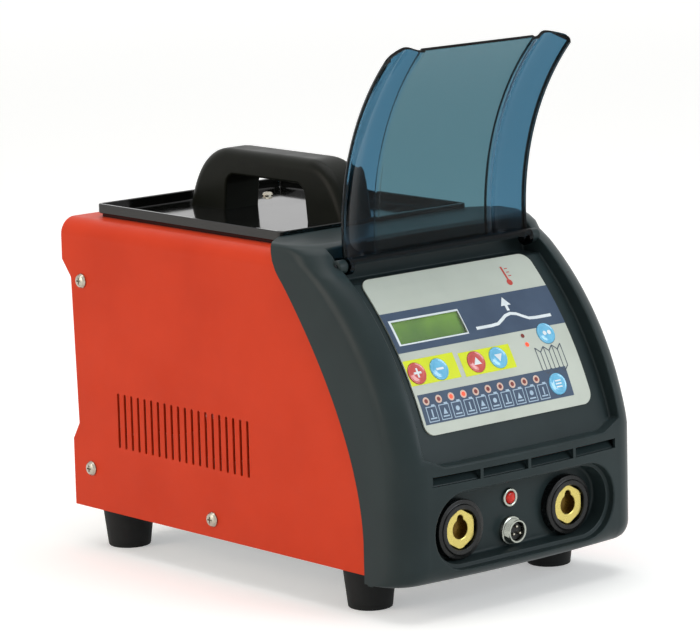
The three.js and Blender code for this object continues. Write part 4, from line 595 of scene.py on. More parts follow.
def chin_patches():
    """The lower front: corner strips, the strip under the recess, and the strip with the air slot."""
    def row(up, middle=inner_across, **ends):
        """One row of the lower front at a height."""
        return outer_row(front_back(up), up, middle, **ends)

    foot = lay_grid("foot_strip", [row(up) for up in low_rows])
    left = lay_grid("left_strip", [row(up, [-REAR_HALF], right=False) for up in mid_rows])
    right = lay_grid("right_strip", [row(up, [REAR_HALF], left=False) for up in mid_rows])
    rows = [row(up) for up in top_rows]
    for share in (0.5, 1):
        heights = [CHIN_TOP + (ledge_up(min(RECESS_HALF, abs(place[0]))) - CHIN_TOP) * share for place in rows[0]]
        rows.append([row(up)[i] for i, up in enumerate(heights)])
    band = lay_grid("slot_strip", rows)
    drop_faces(band, faces_inside(band, lambda across, back, up: SLOT_BOTTOM < up < SLOT_TOP and back < 3 and (
        SLOT_MIDDLE < abs(across) < SLOT_RIB or SLOT_NEXT < abs(across) < SLOT_OUTER)))
    return [foot, left, right, band]


RECESS_UP = 56.7
RECESS_CENTRE = 54.6
RECESS_RADIUS = 26.1


def socket_recess():
    """The long round-ended recess: rings from the face round it, over its stepped wall, to its floor."""
    edge = [(x, mid_rows[0]) for x in inner_across] + [(REAR_HALF, up) for up in mid_rows[1:]]
    edge += [(x, mid_rows[-1]) for x in reversed(inner_across[:-1])] + [(-REAR_HALF, up) for up in mid_rows[-2:0:-1]]

    def round_place(place, radius):
        """The place moved straight towards or off the recess's middle line, to a radius from it."""
        centre = max(-RECESS_CENTRE, min(RECESS_CENTRE, place[0]))
        run, rise = place[0] - centre, place[1] - RECESS_UP
        length = math.hypot(run, rise)
        return centre + run / length * radius, RECESS_UP + rise / length * radius

    def on_face(x, up, sink=0):
        """A place on the outer face, or sunk below it."""
        return x, face_back(x, front_back(up), up) + sink, up

    rings = []
    for share in (0, 0.25, 0.5, 0.75, 0.9, 1):
        goals = [round_place(place, RECESS_RADIUS + 1.2) for place in edge]
        rings.append([on_face(*[a + (b - a) * share for a, b in zip(place, goal)]) for place, goal in zip(edge, goals)])
    for out, sink in ((0.74, 0.09), (0.35, 0.35), (0.09, 0.74), (0, 1.2)):
        rings.append([on_face(*round_place(place, RECESS_RADIUS + out), sink) for place in edge])
    for inward, back in ((0, 3.4), (0.3, 4.1), (1, 4.4), (2, 4.5), (2.6, 4.8), (2.9, 5.5), (3.2, 14.5), (3.6, 15.7),
                         (4.4, 16.3), (5.6, 16.5), (14.1, 16.5), (24.1, 16.5)):
        places = [round_place(place, RECESS_RADIUS - inward) for place in edge]
        rings.append([(x, back, up) for x, up in places])
    return loft("socket_recess_skin", rings, cap_start=False)


def upper_patches():
    """Cheeks, recess floor and walls, and the lip behind the trough."""
    fixed = [PANEL_LENGTH, 106, 98, 90, 82, 74, 66, 60, DISPLAY_BOTTOM, 48, 40, DISPLAY_TOP, 24, 16, 8]
    top_way = way_down(TROUGH_UP)

    def floor_line(across):
        """Back and up along the recess floor, from its lower edge to the trough."""
        start = way_down(ledge_up(across))
        downs = [start, start + (PANEL_LENGTH - start) / 3, start + (PANEL_LENGTH - start) * 2 / 3, *fixed, top_way]
        return [floor_place(down) for down in downs]

    def wall_line(across):
        """Back along the trough and up the lip's front."""
        lip_up = shoulder(lip_share(across))[1]
        start = floor_place(top_way)[0]
        trough = [(start + (LIP_BACK - start) * i / 3, TROUGH_UP) for i in (1, 2, 3)]
        return trough + [(LIP_BACK, TROUGH_UP + (lip_up - TROUGH_UP) * i / 3) for i in (1, 2, 3)]

    inner = [floor_line(x) + wall_line(x) for x in steps_across]
    recess = lay_grid("recess_skin", [[(x, *inner[i][j]) for i, x in enumerate(steps_across)]
                                      for j in range(len(inner[0]))])
    drop_faces(recess, faces_inside(recess, lambda across, back, up: DISPLAY_LEFT < across < DISPLAY_RIGHT and
                                    floor_place(DISPLAY_BOTTOM)[1] < up < floor_place(DISPLAY_TOP)[1]))
    ledge = lay_grid("ledge_skin", [
        [(x, face_back(x, front_back(ledge_up(x)), ledge_up(x)), ledge_up(x)) for x in steps_across],
        [(x, *inner[i][0]) for i, x in enumerate(steps_across)]])
    start = lip_share(RECESS_HALF)
    outer = [(front_back(up), up) for _, up in floor_line(RECESS_HALF)]
    outer += [(front_back(up), up) for up in (214.7, 217.3)] + [shoulder(0)]
    outer += [shoulder(start * i / 3) for i in (1, 2, 3)]
    sides = [lay_grid("wall_skin", [[(x, face_back(x, back, up), up) for back, up in outer],
                                    [(x, *place) for place in line]])
             for x, line in ((-RECESS_HALF, inner[0]), (RECESS_HALF, inner[-1]))]
    rows = outer + [shoulder(start + (1 - start) * i / 5) for i in range(1, 6)]
    cheeks = [lay_grid("cheek_skin", [outer_row(back, up, left=left, right=not left) for back, up in rows])
              for left in (True, False)]

    def lip_place(x, step):
        """A place on the lip's outer face, from its front edge up to the flat top."""
        back, up = shoulder(lip_share(x) + (1 - lip_share(x)) * step / 5)
        return x, LIP_BACK if step == 0 else face_back(x, back, up), up

    lip = lay_grid("lip_skin", [[lip_place(x, step) for x in steps_across] for step in range(6)])
    return [recess, ledge, *sides, *cheeks, lip]


def top_and_bottom():
    """The flat top with its slanted rear corners, the wall under its rear edge, and the flat bottom."""
    back, up = shoulder(1)
    front = outer_row(back, TOP, steps_across)
    half = half_width(TOP)
    rear_row = []
    for x, _, _ in front:
        share = min(1, (half - abs(x)) / (half - REAR_HALF))
        rear_row.append((x, side_end(TOP) + (REAR_BACK - side_end(TOP)) * share, TOP))
    middle_row = [(a[0], a[1] + (b[1] - a[1]) * 0.5, TOP) for a, b in zip(front, rear_row)]
    top = lay_grid("top_skin", [front, middle_row, rear_row])
    wall = lay_grid("rear_skin", [
        [(-half_width(up), side_end(up), up), *[(x, REAR_BACK, up) for x in (-REAR_HALF, 0, REAR_HALF)],
         (half_width(up), side_end(up), up)] for up in (TOP, 236.3, 234.5, 231.8)])
    first = outer_row(front_back(BOTTOM), BOTTOM, inner_across)
    bottom = lay_grid("bottom_skin", [first, [(x, max(y, seam[0][0]), BOTTOM) for x, y, _ in first]])
    return [top, wall, bottom]


def build_bezel():
    """The whole front moulding: its skins joined, the rims of its recess rounded, and its wall given inwards."""
    parts = chin_patches() + [socket_recess()] + upper_patches() + top_and_bottom()
    shell = weld("front_moulding", *parts, distance=0.05)
    round_sharp(shell, 1.3, lambda across, back, up: up > CHIN_TOP)
    apply_modifier(shell, "SOLIDIFY", thickness=MOULDING_WALL / 1000, offset=-1)
    smooth(shell, 38, weighted=True)
    return shell


BOSS_ACROSS, BOSS_BACK, BOSS_UP = 86.2, 80.5, 224
BOSS_RADIUS, BOSS_LENGTH = 0.0045, 0.0072
LOUVRE_HALF = 82.5


def hinge_boss(name, across):
    """A round boss of the moulding, from the recess wall to the visor's ear."""
    bpy.ops.object.select_all(action="DESELECT")
    bpy.ops.mesh.primitive_cylinder_add(vertices=40, radius=BOSS_RADIUS, depth=BOSS_LENGTH,
                                        location=at(across, BOSS_BACK, BOSS_UP), rotation=(0, math.pi / 2, 0))
    bpy.ops.object.transform_apply(location=True, rotation=True)
    boss = bpy.context.object
    boss.name = name
    round_edges(boss, 0.6, 60)
    fit(boss, abs_dark_grey, "grey_mould", angle=50)


def slot_louvre():
    """The leaning blade of the moulding behind the front air slot, which hides the inside."""
    across = [-LOUVRE_HALF + 2 * LOUVRE_HALF * i / 12 for i in range(13)]
    blade = lay_grid("slot_louvre", [[(x, face_back(x, 0, up) + sink, up) for x in across]
                                     for up, sink in ((87.5, 2.5), (89.2, 3), (92.7, 7))])
    apply_modifier(blade, "SOLIDIFY", thickness=0.0012, offset=0)
    fit(blade, abs_dark_grey, "grey_mould", angle=30)


fit(build_bezel(), abs_dark_grey, "grey_mould", "front_bezel")
slot_louvre()
hinge_boss("hinge_boss_left", -BOSS_ACROSS)
hinge_boss("hinge_boss_right", BOSS_ACROSS)


# Cover: bent sheet with round-ended air slots

COVER_SLOTS_UP = (75.4, 114.1)
COVER_SLOTS_BACK = (150, 305)
SLOT_END_RADIUS = 0.00115


def build_cover():
    """The sheet, with the lower and upper ends of its air slots rounded."""
    piece = merged_copy("cover")
    clear_selection(piece)
    for edge in piece.data.edges:
        a, b = [piece.data.vertices[i].co * 1000 for i in edge.vertices]
        across = abs(a.x - b.x)
        level = min(abs(a.z - up) for up in COVER_SLOTS_UP) < 0.2 and abs(a.z - b.z) < 0.1
        in_row = COVER_SLOTS_BACK[0] < a.y + MIDDLE_BACK < COVER_SLOTS_BACK[1] and abs(a.y - b.y) < 0.1
        edge.select = 1.2 < across < 1.8 and level and in_row
    in_edit(lambda: bpy.ops.mesh.bevel(offset=SLOT_END_RADIUS, segments=4, clamp_overlap=False))
    smooth(piece, 32, weighted=True)
    return piece


fit(build_cover(), powder_coat_red, "red_paint", "cover")


# Visor: a smooth slab swept round an arc, flat in the middle, with a rounded raised band along each side

VISOR_CENTRE = (-87, 243)
VISOR_HALF = 82
VISOR_WALL = 2.5
VISOR_START, VISOR_END = -4.7, 44.5
VISOR_RADIUS, VISOR_FALL_START, VISOR_FALL = 172.9, 63, 7
GROOVE_DEPTH, BAND_RISE = 1.3, 3.9
TIP_ROUND = 5
OUTER_STEP, INNER_STEP = 49.5, 47.2


def ease(value, start, end):
    """A soft step from 0 to 1 between two values."""
    way = min(1, max(0, (value - start) / (end - start)))
    return way * way * (3 - 2 * way)


def visor_radius(across, step):
    """Inner radius of the slab: a flat middle, a groove past its step, a band, then a round shoulder."""
    beside = abs(across)
    fall = max(0, (beside - VISOR_FALL_START) / (VISOR_HALF - VISOR_FALL_START))
    return (VISOR_RADIUS - GROOVE_DEPTH * ease(beside, step, step + 0.9) + BAND_RISE * ease(beside, 51, 61)
            - VISOR_FALL * fall ** 1.3)


def visor_ring(share):
    """The slab's closed section at a share of its arc; the arc is shorter at the rounded tip corners."""
    spread = [81.2, *range(79, 49, -2), 50.4, 49.9, 49.5, 48.5, 48, 47.5, 47, 40, 20]
    spread = [*spread, 0, *[-x for x in reversed(spread)]]
    outer = [(x, visor_radius(x, OUTER_STEP) + VISOR_WALL) for x in spread]
    inner = [(x, visor_radius(x, INNER_STEP)) for x in reversed(spread[1:-1])]
    low = visor_radius(VISOR_HALF, INNER_STEP) - 0.6
    edge = [(79.3, low + 0.5), (79.7, low), (81.6, low), (VISOR_HALF, low + 0.5), (VISOR_HALF, low + 1.8)]
    section = edge + outer + [(-x, r) for x, r in reversed(edge)] + inner
    ring = []
    for x, radius in section:
        beyond = max(0, abs(x) - VISOR_HALF + TIP_ROUND)
        corner = math.degrees((TIP_ROUND - math.sqrt(TIP_ROUND ** 2 - beyond ** 2)) / radius)
        angle = math.radians(VISOR_START + (VISOR_END - corner - VISOR_START) * share)
        ring.append((x, VISOR_CENTRE[0] + radius * math.cos(angle), VISOR_CENTRE[1] + radius * math.sin(angle)))
    return ring


def mark_faces(piece, attribute, shade_of):
    """Writes a number on each face, such as painted shade, for a finish that reads it."""
    layer = piece.data.attributes.new(attribute, "FLOAT", "FACE")
    for face, mark in zip(piece.data.polygons, layer.data):
        mark.value = shade_of(face)


def edge_shade_and_band_tint(face):
    """1, for painted shade, where a face turns away from the sheet, as on edges and risers, and half, for a deeper
    tint, on the bands.
    """
    out = Vector((0, face.center.y, face.center.z)) - at(0, *VISOR_CENTRE)
    if abs(face.normal.dot(out.normalized())) < 0.65:
        return 1
    return 0.5 if abs(face.center.x) > 0.05 else 0


def build_visor():
    """The swept slab, joined to the CAD visor's root with its ears, which is cut off at the slab's start."""
    flap = loft("visor_flap", [visor_ring(i / 30) for i in range(31)])
    round_sharp(flap, 0.6, lambda across, back, up: up > 330, 60, 2)
    root = merged_copy("visor")
    angle = math.radians(VISOR_START - 0.06)
    clear_selection(root)
    in_edit(select_all, lambda: bpy.ops.mesh.bisect(plane_co=at(0, *VISOR_CENTRE), use_fill=True, clear_outer=True,
                                                    plane_no=(0, -math.sin(angle), math.cos(angle))))
    round_edges(root, 0.4, 50, 2)
    piece = weld("visor_shell", flap, root, distance=0.001)
    smooth(piece, 40, weighted=True)
    # Painted shade on the visor's edges and risers, and a deeper tint on its bands, read by its finish
    mark_faces(piece, "edge_shade_and_band_tint", edge_shade_and_band_tint)
    return piece


fit(build_visor(), polycarbonate_smoke, "visor_plastic", "visor", body="visor_flap")


# Control panel: printed inks, display, lamps and keys

def on_panel(across, down, lift):
    """A place on the control film, by its way down and its lift off the face."""
    return (across, *floor_place(down, PANEL_RADIUS + lift))


def print_band(name, edges_across, edges_down, keep, lift=0.06):
    """A printed field laid over the arc as a grid; faces that keep() turns down are left out."""
    downs = []
    for low, high in zip(edges_down, edges_down[1:]):
        steps = max(1, round((high - low) / 5))
        downs += [low + (high - low) * i / steps for i in range(steps)]
    downs.append(edges_down[-1])
    piece = lay_grid(name, [[on_panel(x, down, lift) for x in edges_across] for down in downs])
    middles = [((left + right) / 2, (high + low) / 2) for high, low in zip(downs, downs[1:])
               for left, right in zip(edges_across, edges_across[1:])]
    drop_faces(piece, [i for i, middle in enumerate(middles) if not keep(*middle)])
    return piece


def print_shape(name, outline, lift=0.1, place=on_panel):
    """A printed mark: a filled outline of places across and down."""
    bpy.ops.object.select_all(action="DESELECT")
    bpy.ops.mesh.primitive_circle_add(vertices=len(outline), fill_type="NGON")
    piece = bpy.context.object
    piece.name = name
    for vertex, (across, down) in zip(piece.data.vertices, outline):
        vertex.co = at(*place(across, down, lift))
    return piece


def box_outline(across, down, width, height):
    """The corners of an upright box round a middle."""
    return [(across - width / 2, down - height / 2), (across + width / 2, down - height / 2),
            (across + width / 2, down + height / 2), (across - width / 2, down + height / 2)]


def disc_outline(across, down, radius, count=20):
    """Places round a circle."""
    return [(across + radius * math.cos(math.tau * i / count), down + radius * math.sin(math.tau * i / count))
            for i in range(count)]


def stroke_outline(places, width):
    """A line of even width through some places, as one outline."""
    left, right = [], []
    for i, (x, y) in enumerate(places):
        before = places[max(0, i - 1)]
        after = places[min(len(places) - 1, i + 1)]
        run, rise = after[0] - before[0], after[1] - before[1]
        length = math.hypot(run, rise)
        left.append((x - rise / length * width / 2, y + run / length * width / 2))
        right.append((x + rise / length * width / 2, y - run / length * width / 2))
    return left + right[::-1]


def print_marks(name, ink, outlines, lift=0.1):
    """Several marks of one ink, at one lift off the film."""
    lay_ink(name, ink, [print_shape(name, outline, lift) for outline in outlines])


def lay_ink(name, ink, marks, slot="panel_film", body="case"):
    """Joins printed marks into one thin piece, turned to face the front."""
    piece = weld(name, *marks, distance=0.0005)
    if sum(face.normal.y for face in piece.data.polygons) > 0:
        pick(piece)
        in_edit(select_all, bpy.ops.mesh.flip_normals)
    fit(piece, ink, slot, body=body)


def print_round_key(name, area, key, lift=0.06):
    """A printed field left open round a key: rings that widen from a circle to the field's corners."""
    (left, right, top, bottom), (across, down) = area, key
    corners = [math.atan2(y - down, x - across) % math.tau for x in (left, right) for y in (top, bottom)]
    inner, outer = [], []
    for angle in sorted([math.tau * i / 32 for i in range(32)] + corners):
        run, drop = math.cos(angle), math.sin(angle)
        reach = min((right - across if run > 0 else left - across) / run if abs(run) > 1e-6 else 99,
                    (bottom - down if drop > 0 else top - down) / drop if abs(drop) > 1e-6 else 99)
        inner.append((KEY_OPENING * run, KEY_OPENING * drop))
        outer.append((reach * run, reach * drop))
    rings = [[on_panel(across + a[0] + (b[0] - a[0]) * share, down + a[1] + (b[1] - a[1]) * share, lift)
              for a, b in zip(inner, outer)] for share in (0, 0.5, 1)]
    return loft(name, rings, cap_start=False, cap_end=False)


KEY_OPENING = 7.65
key_places = {"key_plus": (-66.6, 72.6), "key_minus": (-47.1, 72.6), "key_up": (-14.2, 72.6),
              "key_down": (5.5, 72.6), "key_mode": (54.4, 62.3), "key_program": (48.5, 97.8)}
window = (-69.3, -10.5, 35, 51.5)
frame_edge = (-71.1, -9.8, 33.7, 52.5)
columns = [-75, frame_edge[0], window[0], window[1], frame_edge[1], 0, 30, 75]
levels = [28, frame_edge[2], window[2], window[3], frame_edge[3]]
mode_across, mode_down = key_places["key_mode"]
notch = [(mode_across + KEY_OPENING * math.cos(math.radians(a)), mode_down + KEY_OPENING * math.sin(math.radians(a)))
         for a in range(320, 219, -10)]


def within(area, across, down):
    """Tells whether a place lies in an area of left, right, top and bottom."""
    return area[0] < across < area[1] and area[2] < down < area[3]


lay_ink("print_display_band", ink_blue_grey, [
    print_band("band", columns, levels, lambda x, down: not within(frame_edge, x, down)),
    print_shape("band_foot", [(-75, 52.5), (0, 52.5), (75, 52.5), (75, 57.5), *notch, (0, 57.5), (-75, 57.5)], 0.06),
    print_band("low_band", [-73, -40, -10, 15, 38], [87, 107.3], lambda x, down: True),
    print_round_key("low_band_end", (38, 60, 87, 107.3), key_places["key_program"])])
lay_ink("print_display_frame", ink_white, [
    print_band("frame", columns, levels, lambda x, down: within(frame_edge, x, down) and not within(window, x, down))])
lay_ink("print_yellow_fields", ink_yellow, [
    print_round_key(f"{sign}_field", area, key_places[f"key_{sign}"]) for sign, area in (
        ("plus", (-74.6, -57, 63, 80.7)), ("minus", (-57, -31, 63, 80.7)), ("up", (-27, -4, 64.5, 81.3)),
        ("down", (-4, 18.5, 64.5, 81.3)))])

lamp_places = [(-67.3 + 10.93 * i, 91.9) for i in range(10)]
mode_lamps = [(33.7, 61.1), (34.4, 67.6)]
print_marks("print_lamp_rings", ink_pink_cream, [disc_outline(x, down, 2.75) for x, down in lamp_places], 0.14)
lit = [lamp_places[2], lamp_places[3], mode_lamps[1]]
print_marks("lamps_off", diode_off, [disc_outline(x, down, 1.5) for x, down in lamp_places + mode_lamps
                                     if (x, down) not in lit], 0.2)
print_marks("lamps_lit", diode_lit, [disc_outline(x, down, 1.6) for x, down in lit], 0.2)

tile_places = [(-65.1 + 11.05 * i, 100.9) for i in range(10)]
print_marks("print_tiles", ink_pale_blue, [
    outline for x, down in tile_places
    for outline in (box_outline(x, down, 8.8, 10.4), box_outline(x + 2.2, down - 5.6, 3, 1.2))], 0.15)
print_marks("print_tile_fields", ink_blue_grey, [box_outline(x, down, 7.6, 9.2) for x, down in tile_places], 0.22)
tile_signs = []
for i, (x, down) in enumerate(tile_places):
    tile_signs.append(box_outline(x, down + 2.9, 5.4, 0.9))
    if i % 3 == 0:
        tile_signs.append(box_outline(x, down - 0.5, 1.1, 5.2))
    elif i % 3 == 1:
        tile_signs.append([(x - 1.9, down + 1.4), (x, down - 2.8), (x + 1.9, down + 1.4)])
    else:
        tile_signs.append(disc_outline(x, down - 0.7, 1.7, 12))
print_marks("print_tile_signs", ink_pale_blue, tile_signs, 0.29)

print_marks("print_thermometer", ink_red, [
    disc_outline(46, 21, 2.4), box_outline(46, 14, 1.6, 12),
    *[box_outline(49.4, down, 2.6, 0.7) for down in (10, 13, 16)]])
folds = [(39.5 + 3.85 * i, 74.5 if i % 2 else 71) for i in range(7)]
print_marks("print_folded_panel", ink_dark, [
    stroke_outline([(x, down), (x, down + 15.5)], 0.7) for x, down in folds] + [
    stroke_outline([(a[0], a[1] + low), (b[0], b[1] + low)], 0.7)
    for a, b in zip(folds, folds[1:]) for low in (0, 15.5)], 0.14)

dent = [(-2, 50), (12, 50), (18, 49.5), (23, 47), (27, 44.8), (32, 43.8), (37, 44.8), (41, 47), (46, 49.5), (52, 50),
        (66, 50)]
print_marks("print_pull_sign", ink_white, [
    stroke_outline(dent, 2.2), [(27.6, 37.5), (32, 31), (36.4, 37.5)], box_outline(32, 39.3, 2.4, 4.6)])

key_signs = {
    "key_plus": [box_outline(0, 0, 6.4, 1.5), box_outline(0, -2, 1.5, 2.5), box_outline(0, 2, 1.5, 2.5)],
    "key_minus": [box_outline(0, 0, 6.4, 1.5)],
    "key_up": [[(-3.4, 2.2), (0, -3), (3.4, 2.2)]],
    "key_down": [[(-3.4, -2.2), (3.4, -2.2), (0, 3)]],
    "key_mode": [disc_outline(-1.9, 0, 1.6, 12), disc_outline(2.2, 0, 1.6, 12)],
    "key_program": [box_outline(0, down, 5.2, 1) for down in (-2.1, 0, 2.1)],
}
KEY_PROFILE = [(2, -7), (2, -0.8), (7.45, -0.75), (7.5, 0.2), (7.35, 0.5), (7, 0.68), (6.6, 0.64), (6.2, 0.46),
               (5.7, 0.5), (5, 0.78), (4.3, 0.96), (3.6, 1.02), (0.4, 1.04)]
for name, (across, down) in key_places.items():
    finish, slot = (key_gloss_red, "key_red") if name in ("key_plus", "key_up") else (key_gloss_blue, "key_blue")
    body = name.replace("key_", "") + "_key"
    rings = [[on_panel(*place, lift) for place in disc_outline(across, down, radius, 32)]
             for radius, lift in KEY_PROFILE]
    fit(loft(name + "_dome", rings), finish, slot, name, body=body, angle=40)
    signs = [print_shape(name, [(across + x, down + y) for x, y in outline], 1.08) for outline in key_signs[name]]
    lay_ink(name + "_sign", ink_white, signs, slot, body)


# Weld sockets, pilot lamp and gun connector

def turned(profile, across, up, count=48, shape=None):
    """A turned piece about a level axis: rings of a radius, or of a shaped radius, at each depth."""
    rings = []
    for radius, back in profile:
        ring = []
        for i in range(count):
            angle = math.tau * i / count
            reach = shape(angle, radius) if shape else radius
            ring.append((across + reach * math.cos(angle), back, up + reach * math.sin(angle)))
        rings.append(ring)
    return rings


def closed_ring(name, profile, across, up, count=48):
    """A turned ring whose profile closes on itself."""
    return loft(name, turned([*profile, profile[0]], across, up, count), cap_start=False, cap_end=False)


SOCKET_UP = 54.2
HEXAGON_FLAT, HEXAGON_CORNER = 12.2, 13.2
BORE_RADIUS = 6.5
NOTCH_UP, NOTCH_RADIUS = 6.6, 2.9


def hexagon_reach(angle, radius):
    """A hexagon whose corners are turned off at the radius."""
    lean = (angle + math.pi / 6) % (math.pi / 3) - math.pi / 6
    return min(radius, HEXAGON_FLAT / math.cos(lean) * radius / HEXAGON_CORNER)


def bore_reach(angle, radius):
    """Round bore with a round key notch at its top."""
    inside = NOTCH_RADIUS ** 2 - (NOTCH_UP * math.cos(angle)) ** 2
    if inside > 0 and math.sin(angle) > 0:
        return max(radius, NOTCH_UP * math.sin(angle) + math.sqrt(inside) + radius - BORE_RADIUS)
    return radius


def socket(side, across):
    """A weld socket: its moulded collar, and its brass with hexagon and keyed bore."""
    ring = closed_ring(f"socket_{side}_collar", [
        (13.3, 28.5), (13.3, 9.7), (13.6, 9.2), (14.2, 9.0), (16.4, 9.0), (16.8, 9.3), (17.0, 9.9), (17.4, 10.1),
        (19.0, 10.1), (19.6, 10.3), (20.0, 10.9), (20.0, 16.4), (15.5, 16.6), (15.5, 28.5)], across, SOCKET_UP, 56)
    fit(ring, thermoset_black, "black_plastic", f"socket_{side}_insulator", angle=30)
    rings = []
    for shape, profile in ((None, [(6, 65), (6, 41), (13, 41), (13, 17)]),
                           (hexagon_reach, [(HEXAGON_CORNER, 16.6), (HEXAGON_CORNER, 11.6), (12.7, 11.05)]),
                           (bore_reach, [(7.1, 11.0), (6.6, 11.3), (BORE_RADIUS, 11.8), (BORE_RADIUS, 16.2)])):
        rings += turned(profile, across, SOCKET_UP, 72, shape)
    brass = loft(f"socket_{side}_contact", rings)
    middle = at(across, 0, SOCKET_UP)

    def painted_bore_shade(face):
        """Painted shade from the rim of the bore to its floor: the brass is coloured browner and darker deeper in."""
        place = face.center - middle
        return min(1, max(0, place.y * 1000 - 11.3) / 2) if math.hypot(place.x, place.z) < 0.0105 else 0

    # Painted shade down the bore, read by the brass finish
    mark_faces(brass, "painted_bore_shade", painted_bore_shade)
    fit(brass, brass_turned, "brass", f"socket_{side}_brass", angle=30)


socket("left", -48.8)
socket("right", 48.8)

LAMP_UP, CONNECTOR_UP = 66.5, 44.6
lamp_ring = closed_ring("pilot_lamp_bezel", [
    (4.2, 26.5), (4.2, 15.2), (4.5, 14.7), (5.1, 14.45), (5.8, 14.5), (6.2, 14.8), (6.4, 15.3), (6.4, 16.4),
    (5, 16.6), (5, 26.5)], 0, LAMP_UP)
fit(lamp_ring, chrome_plate, "chrome", "pilot_lamp_ring", angle=50)
lamp_lens = loft("pilot_lamp_dome", turned([
    (4, 26.3), (4, 15.2), (3.8, 14.6), (3.2, 14.1), (2.2, 13.8), (1, 13.65), (0.2, 13.6)], 0, LAMP_UP))
fit(lamp_lens, lens_red, "lamp_lens", "pilot_lamp_lens", angle=50)

THREAD_START, THREAD_PITCH = 13.3, 0.55
threads = [place for i in range(8)
           for place in ((7.95, THREAD_START - THREAD_PITCH * i), (7.6, THREAD_START - THREAD_PITCH * i - 0.28))]
connector_ring = closed_ring("connector_body", [
    (8, 24.5), (8, 16.6), (9.5, 16.4), (9.5, 14.7), (9.2, 14.2), (8.4, 14.1), (8, 13.8), *threads, (7.8, 8.7),
    (7.5, 8.35), (6.7, 8.3), (6.35, 8.6), (6.35, 24.5)], 0, CONNECTOR_UP, 56)
fit(connector_ring, chrome_plate, "chrome", "connector_shell", angle=35)
insert = loft("connector_core", turned([(6, 29.5), (6, 11.7), (5.6, 11.3), (0.3, 11.2)], 0, CONNECTOR_UP))
fit(insert, thermoset_black, "black_plastic", "connector_insert", angle=40)
PIN_CIRCLE = 3.2
pins = []
for i in range(3):
    angle = math.pi / 2 + math.tau * i / 3
    pins.append(loft("pin", turned([(1, 13), (1, 9.3), (0.8, 8.9), (0.2, 8.75)], PIN_CIRCLE * math.cos(angle),
                                   CONNECTOR_UP + PIN_CIRCLE * math.sin(angle), 16)))
fit(weld("connector_pins", *pins, distance=0.0005), nickel_plate, "chrome", angle=50)


# Tray and handle

def rounded_ring(half, front, rear, radius, up):
    """A rounded rectangle of places at one height."""
    ring = []
    for x, y, start in ((half - radius, rear - radius, 0), (radius - half, rear - radius, 1),
                        (radius - half, front + radius, 2), (half - radius, front + radius, 3)):
        for i in range(7):
            angle = math.pi / 2 * (start + i / 6)
            ring.append((x + radius * math.cos(angle), y + radius * math.sin(angle), up))
    return ring


def build_tray():
    """The tray from its underside over its rim to its floor: rings by inset, height and corner radius."""
    half, front, rear = 84, REAR_BACK + 0.3, 341
    steps = [(2.2, 231.55, 2.5), (2.2, 233.6, 2.5), (0.5, 233.9, 3.6), (0, 234.4, 4), (0, 240), (0.5, 240.5, 3.6),
             (2, 240.5, 2.5), (2.5, 240.1, 1.8), (2.5, 234.4), (3, 233.7), (4, 233.5)]
    piece = loft("tray_moulding", [
        rounded_ring(half - inset, front + inset, rear - inset, radius[0] if radius else max(1.2, 4 - inset), up)
        for inset, up, *radius in steps])
    smooth(piece, 40, weighted=True)
    return piece


fit(build_tray(), abs_polished_black, "tray_black", "tray")


def build_handle():
    """The arch: one outline, drawn for the rear half and mirrored, thickened across and rounded."""
    middle, foot, top, grip = 239.5, 233.5, 276.5, 259.2
    half, grip_half, width = 85.5, 44, 31.5
    rise = [bezier([(half, foot), (half - 6, foot + 23.2), (half - 19, top), (half - 42, top)], i / 14)
            for i in range(15)]
    hole = [(grip_half, foot), (grip_half - 2, grip - 8), (grip_half - 3.2, grip - 4.4), (grip_half - 5.6, grip - 1.8),
            (grip_half - 9, grip)]
    outline = [(-y, up) for y, up in rise] + rise[::-1] + hole + [(-y, up) for y, up in reversed(hole)]
    piece = print_shape("carrying_handle", outline, 0, lambda y, up, lift: (-width / 2, middle + y, up))
    clear_selection(piece, "FACE")
    reach = {"value": (width / 1000, 0, 0)}
    in_edit(select_all, lambda: bpy.ops.mesh.extrude_region_move(TRANSFORM_OT_translate=reach),
            select_all, turn_outwards)

    def at_hole(back, up):
        """Tells whether an edge belongs to the finger gap."""
        return abs(back - middle) <= grip_half + 1 and up <= grip + 1

    round_sharp(piece, 8, lambda across, back, up: up > foot + 0.5 and not at_hole(back, up), 60, 7)
    round_sharp(piece, 1.8, lambda across, back, up: up > foot + 0.5 and at_hole(back, up), 60, 3)
    smooth(piece, 40, weighted=True)
    return piece


fit(build_handle(), nylon_satin_black, "black_plastic", "handle")


# Fasteners, feet and the pieces at the rear and inside

for names, finish, slot, edge, angle in (
        ("side_screw_1 side_screw_2 side_screw_3 side_screw_4 side_screw_5 side_screw_6", nickel_plate, "zinc_steel",
         0.3, 25),
        ("foot_1 foot_2 foot_3 foot_4", rubber_matt_black, "foot_rubber", 0.8, 40),
        ("tray_screw_1 tray_screw_2", nickel_plate, "zinc_steel", 0.25, 25),
        ("hinge_pin_left hinge_pin_right", black_oxide, "steel", 0.3, 30),
        ("rear_panel base_pan", zinc_plate, "zinc_steel", 0.3, 40),
        ("fan_frame", thermoset_black, "black_plastic", 0.6, 45),
        ("fan_rotor", thermoset_black, "black_plastic", 0.4, 45),
        ("fan_guard", nickel_plate, "steel", 0, 45),
        ("cable_gland", thermoset_black, "black_plastic", 0.5, 35),
        ("mains_switch_housing", thermoset_black, "black_plastic", 0.6, 40),
        ("mains_switch_rocker", thermoset_black, "black_plastic", 0.5, 40)):
    for name in names.split():
        refine(name, finish, slot, edge, angle, {"fan_rotor": "fan", "mains_switch_rocker": "rocker"}.get(name, "case"))


# Floor and lights

def looking_rays(tree):
    """1 for the rays by which the camera sees a place, straight, mirrored or through clear plastic, and 0 for light."""
    path = add_node(tree, "ShaderNodeLightPath")
    seen = add_node(tree, "ShaderNodeMath", {0: path.outputs["Is Camera Ray"], 1: path.outputs["Is Glossy Ray"]},
                    operation="MAXIMUM")
    return add_node(tree, "ShaderNodeMath", {0: seen.outputs[0], 1: path.outputs["Is Transmission Ray"]},
                    operation="MAXIMUM").outputs[0]


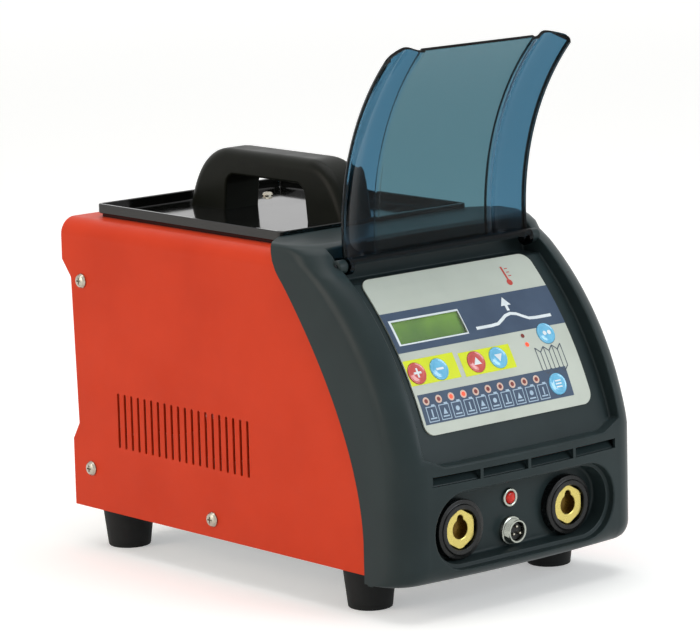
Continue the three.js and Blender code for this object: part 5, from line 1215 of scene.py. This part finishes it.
def paper_floor():
    """White seamless paper: pale and matt round the object, where it keeps the shadow, and pure white further off."""
    material, tree, shader = new_finish("paper_floor", "#EDEDEA", 0.9)
    moulded_grain(tree, shader, 1.5, 0.02)
    place = add_node(tree, "ShaderNodeTexCoord")
    away = add_node(tree, "ShaderNodeVectorMath", {0: place.outputs["Object"]}, operation="LENGTH")
    glow = add_node(tree, "ShaderNodeMapRange", {"Value": away.outputs["Value"], "From Min": 0.5, "From Max": 4.0,
                                                 "To Min": 0.32, "To Max": 0.6})
    strength = add_node(tree, "ShaderNodeMath", {0: looking_rays(tree), 1: glow.outputs[0]}, operation="MULTIPLY")
    tree.links.new(strength.outputs[0], shader.inputs["Emission Strength"])
    shader.inputs["Emission Color"].default_value = linear("#FFFFFF")
    return material


bpy.ops.object.select_all(action="DESELECT")
bpy.ops.mesh.primitive_plane_add(size=30, location=(0, 0, FLOOR_UP))
floor = bpy.context.object
floor.name = "floor"
pick(floor)
bpy.ops.object.transform_apply(location=True)
floor.data.materials.append(paper_floor())


def soft_light(name, place, aim, size, power, colour):
    """A square softbox at a place in metres, turned to its aim."""
    bpy.ops.object.light_add(type="AREA", location=place)
    lamp = bpy.context.object
    lamp.name = name
    lamp.data.size = size
    lamp.data.energy = power
    lamp.data.color = linear(colour)[:3]
    lamp.rotation_euler = (Vector(aim) - Vector(place)).to_track_quat("-Z", "Y").to_euler()


soft_light("top_softbox", (0.1, 0.1, 2.2), (0, 0, 0.1), 1.8, 25, "#FFFFFF")
soft_light("left_softbox", (-2.2, 0.7, 0.9), (0, 0, 0.15), 1.4, 21.5, "#FFF1E4")
soft_light("front_softbox", (0.9, -2.2, 1.1), (0, -0.1, 0.15), 1.2, 24, "#EFF7FF")

world = bpy.data.worlds.new("studio")
scene.world = world
world.use_nodes = True
world_tree = world.node_tree
background = world_tree.nodes["Background"]
background.inputs["Color"].default_value = linear("#FFFFFF")
level = add_node(world_tree, "ShaderNodeMapRange", {"Value": looking_rays(world_tree), "To Min": 0.4, "To Max": 1.0})
world_tree.links.new(level.outputs[0], background.inputs["Strength"])
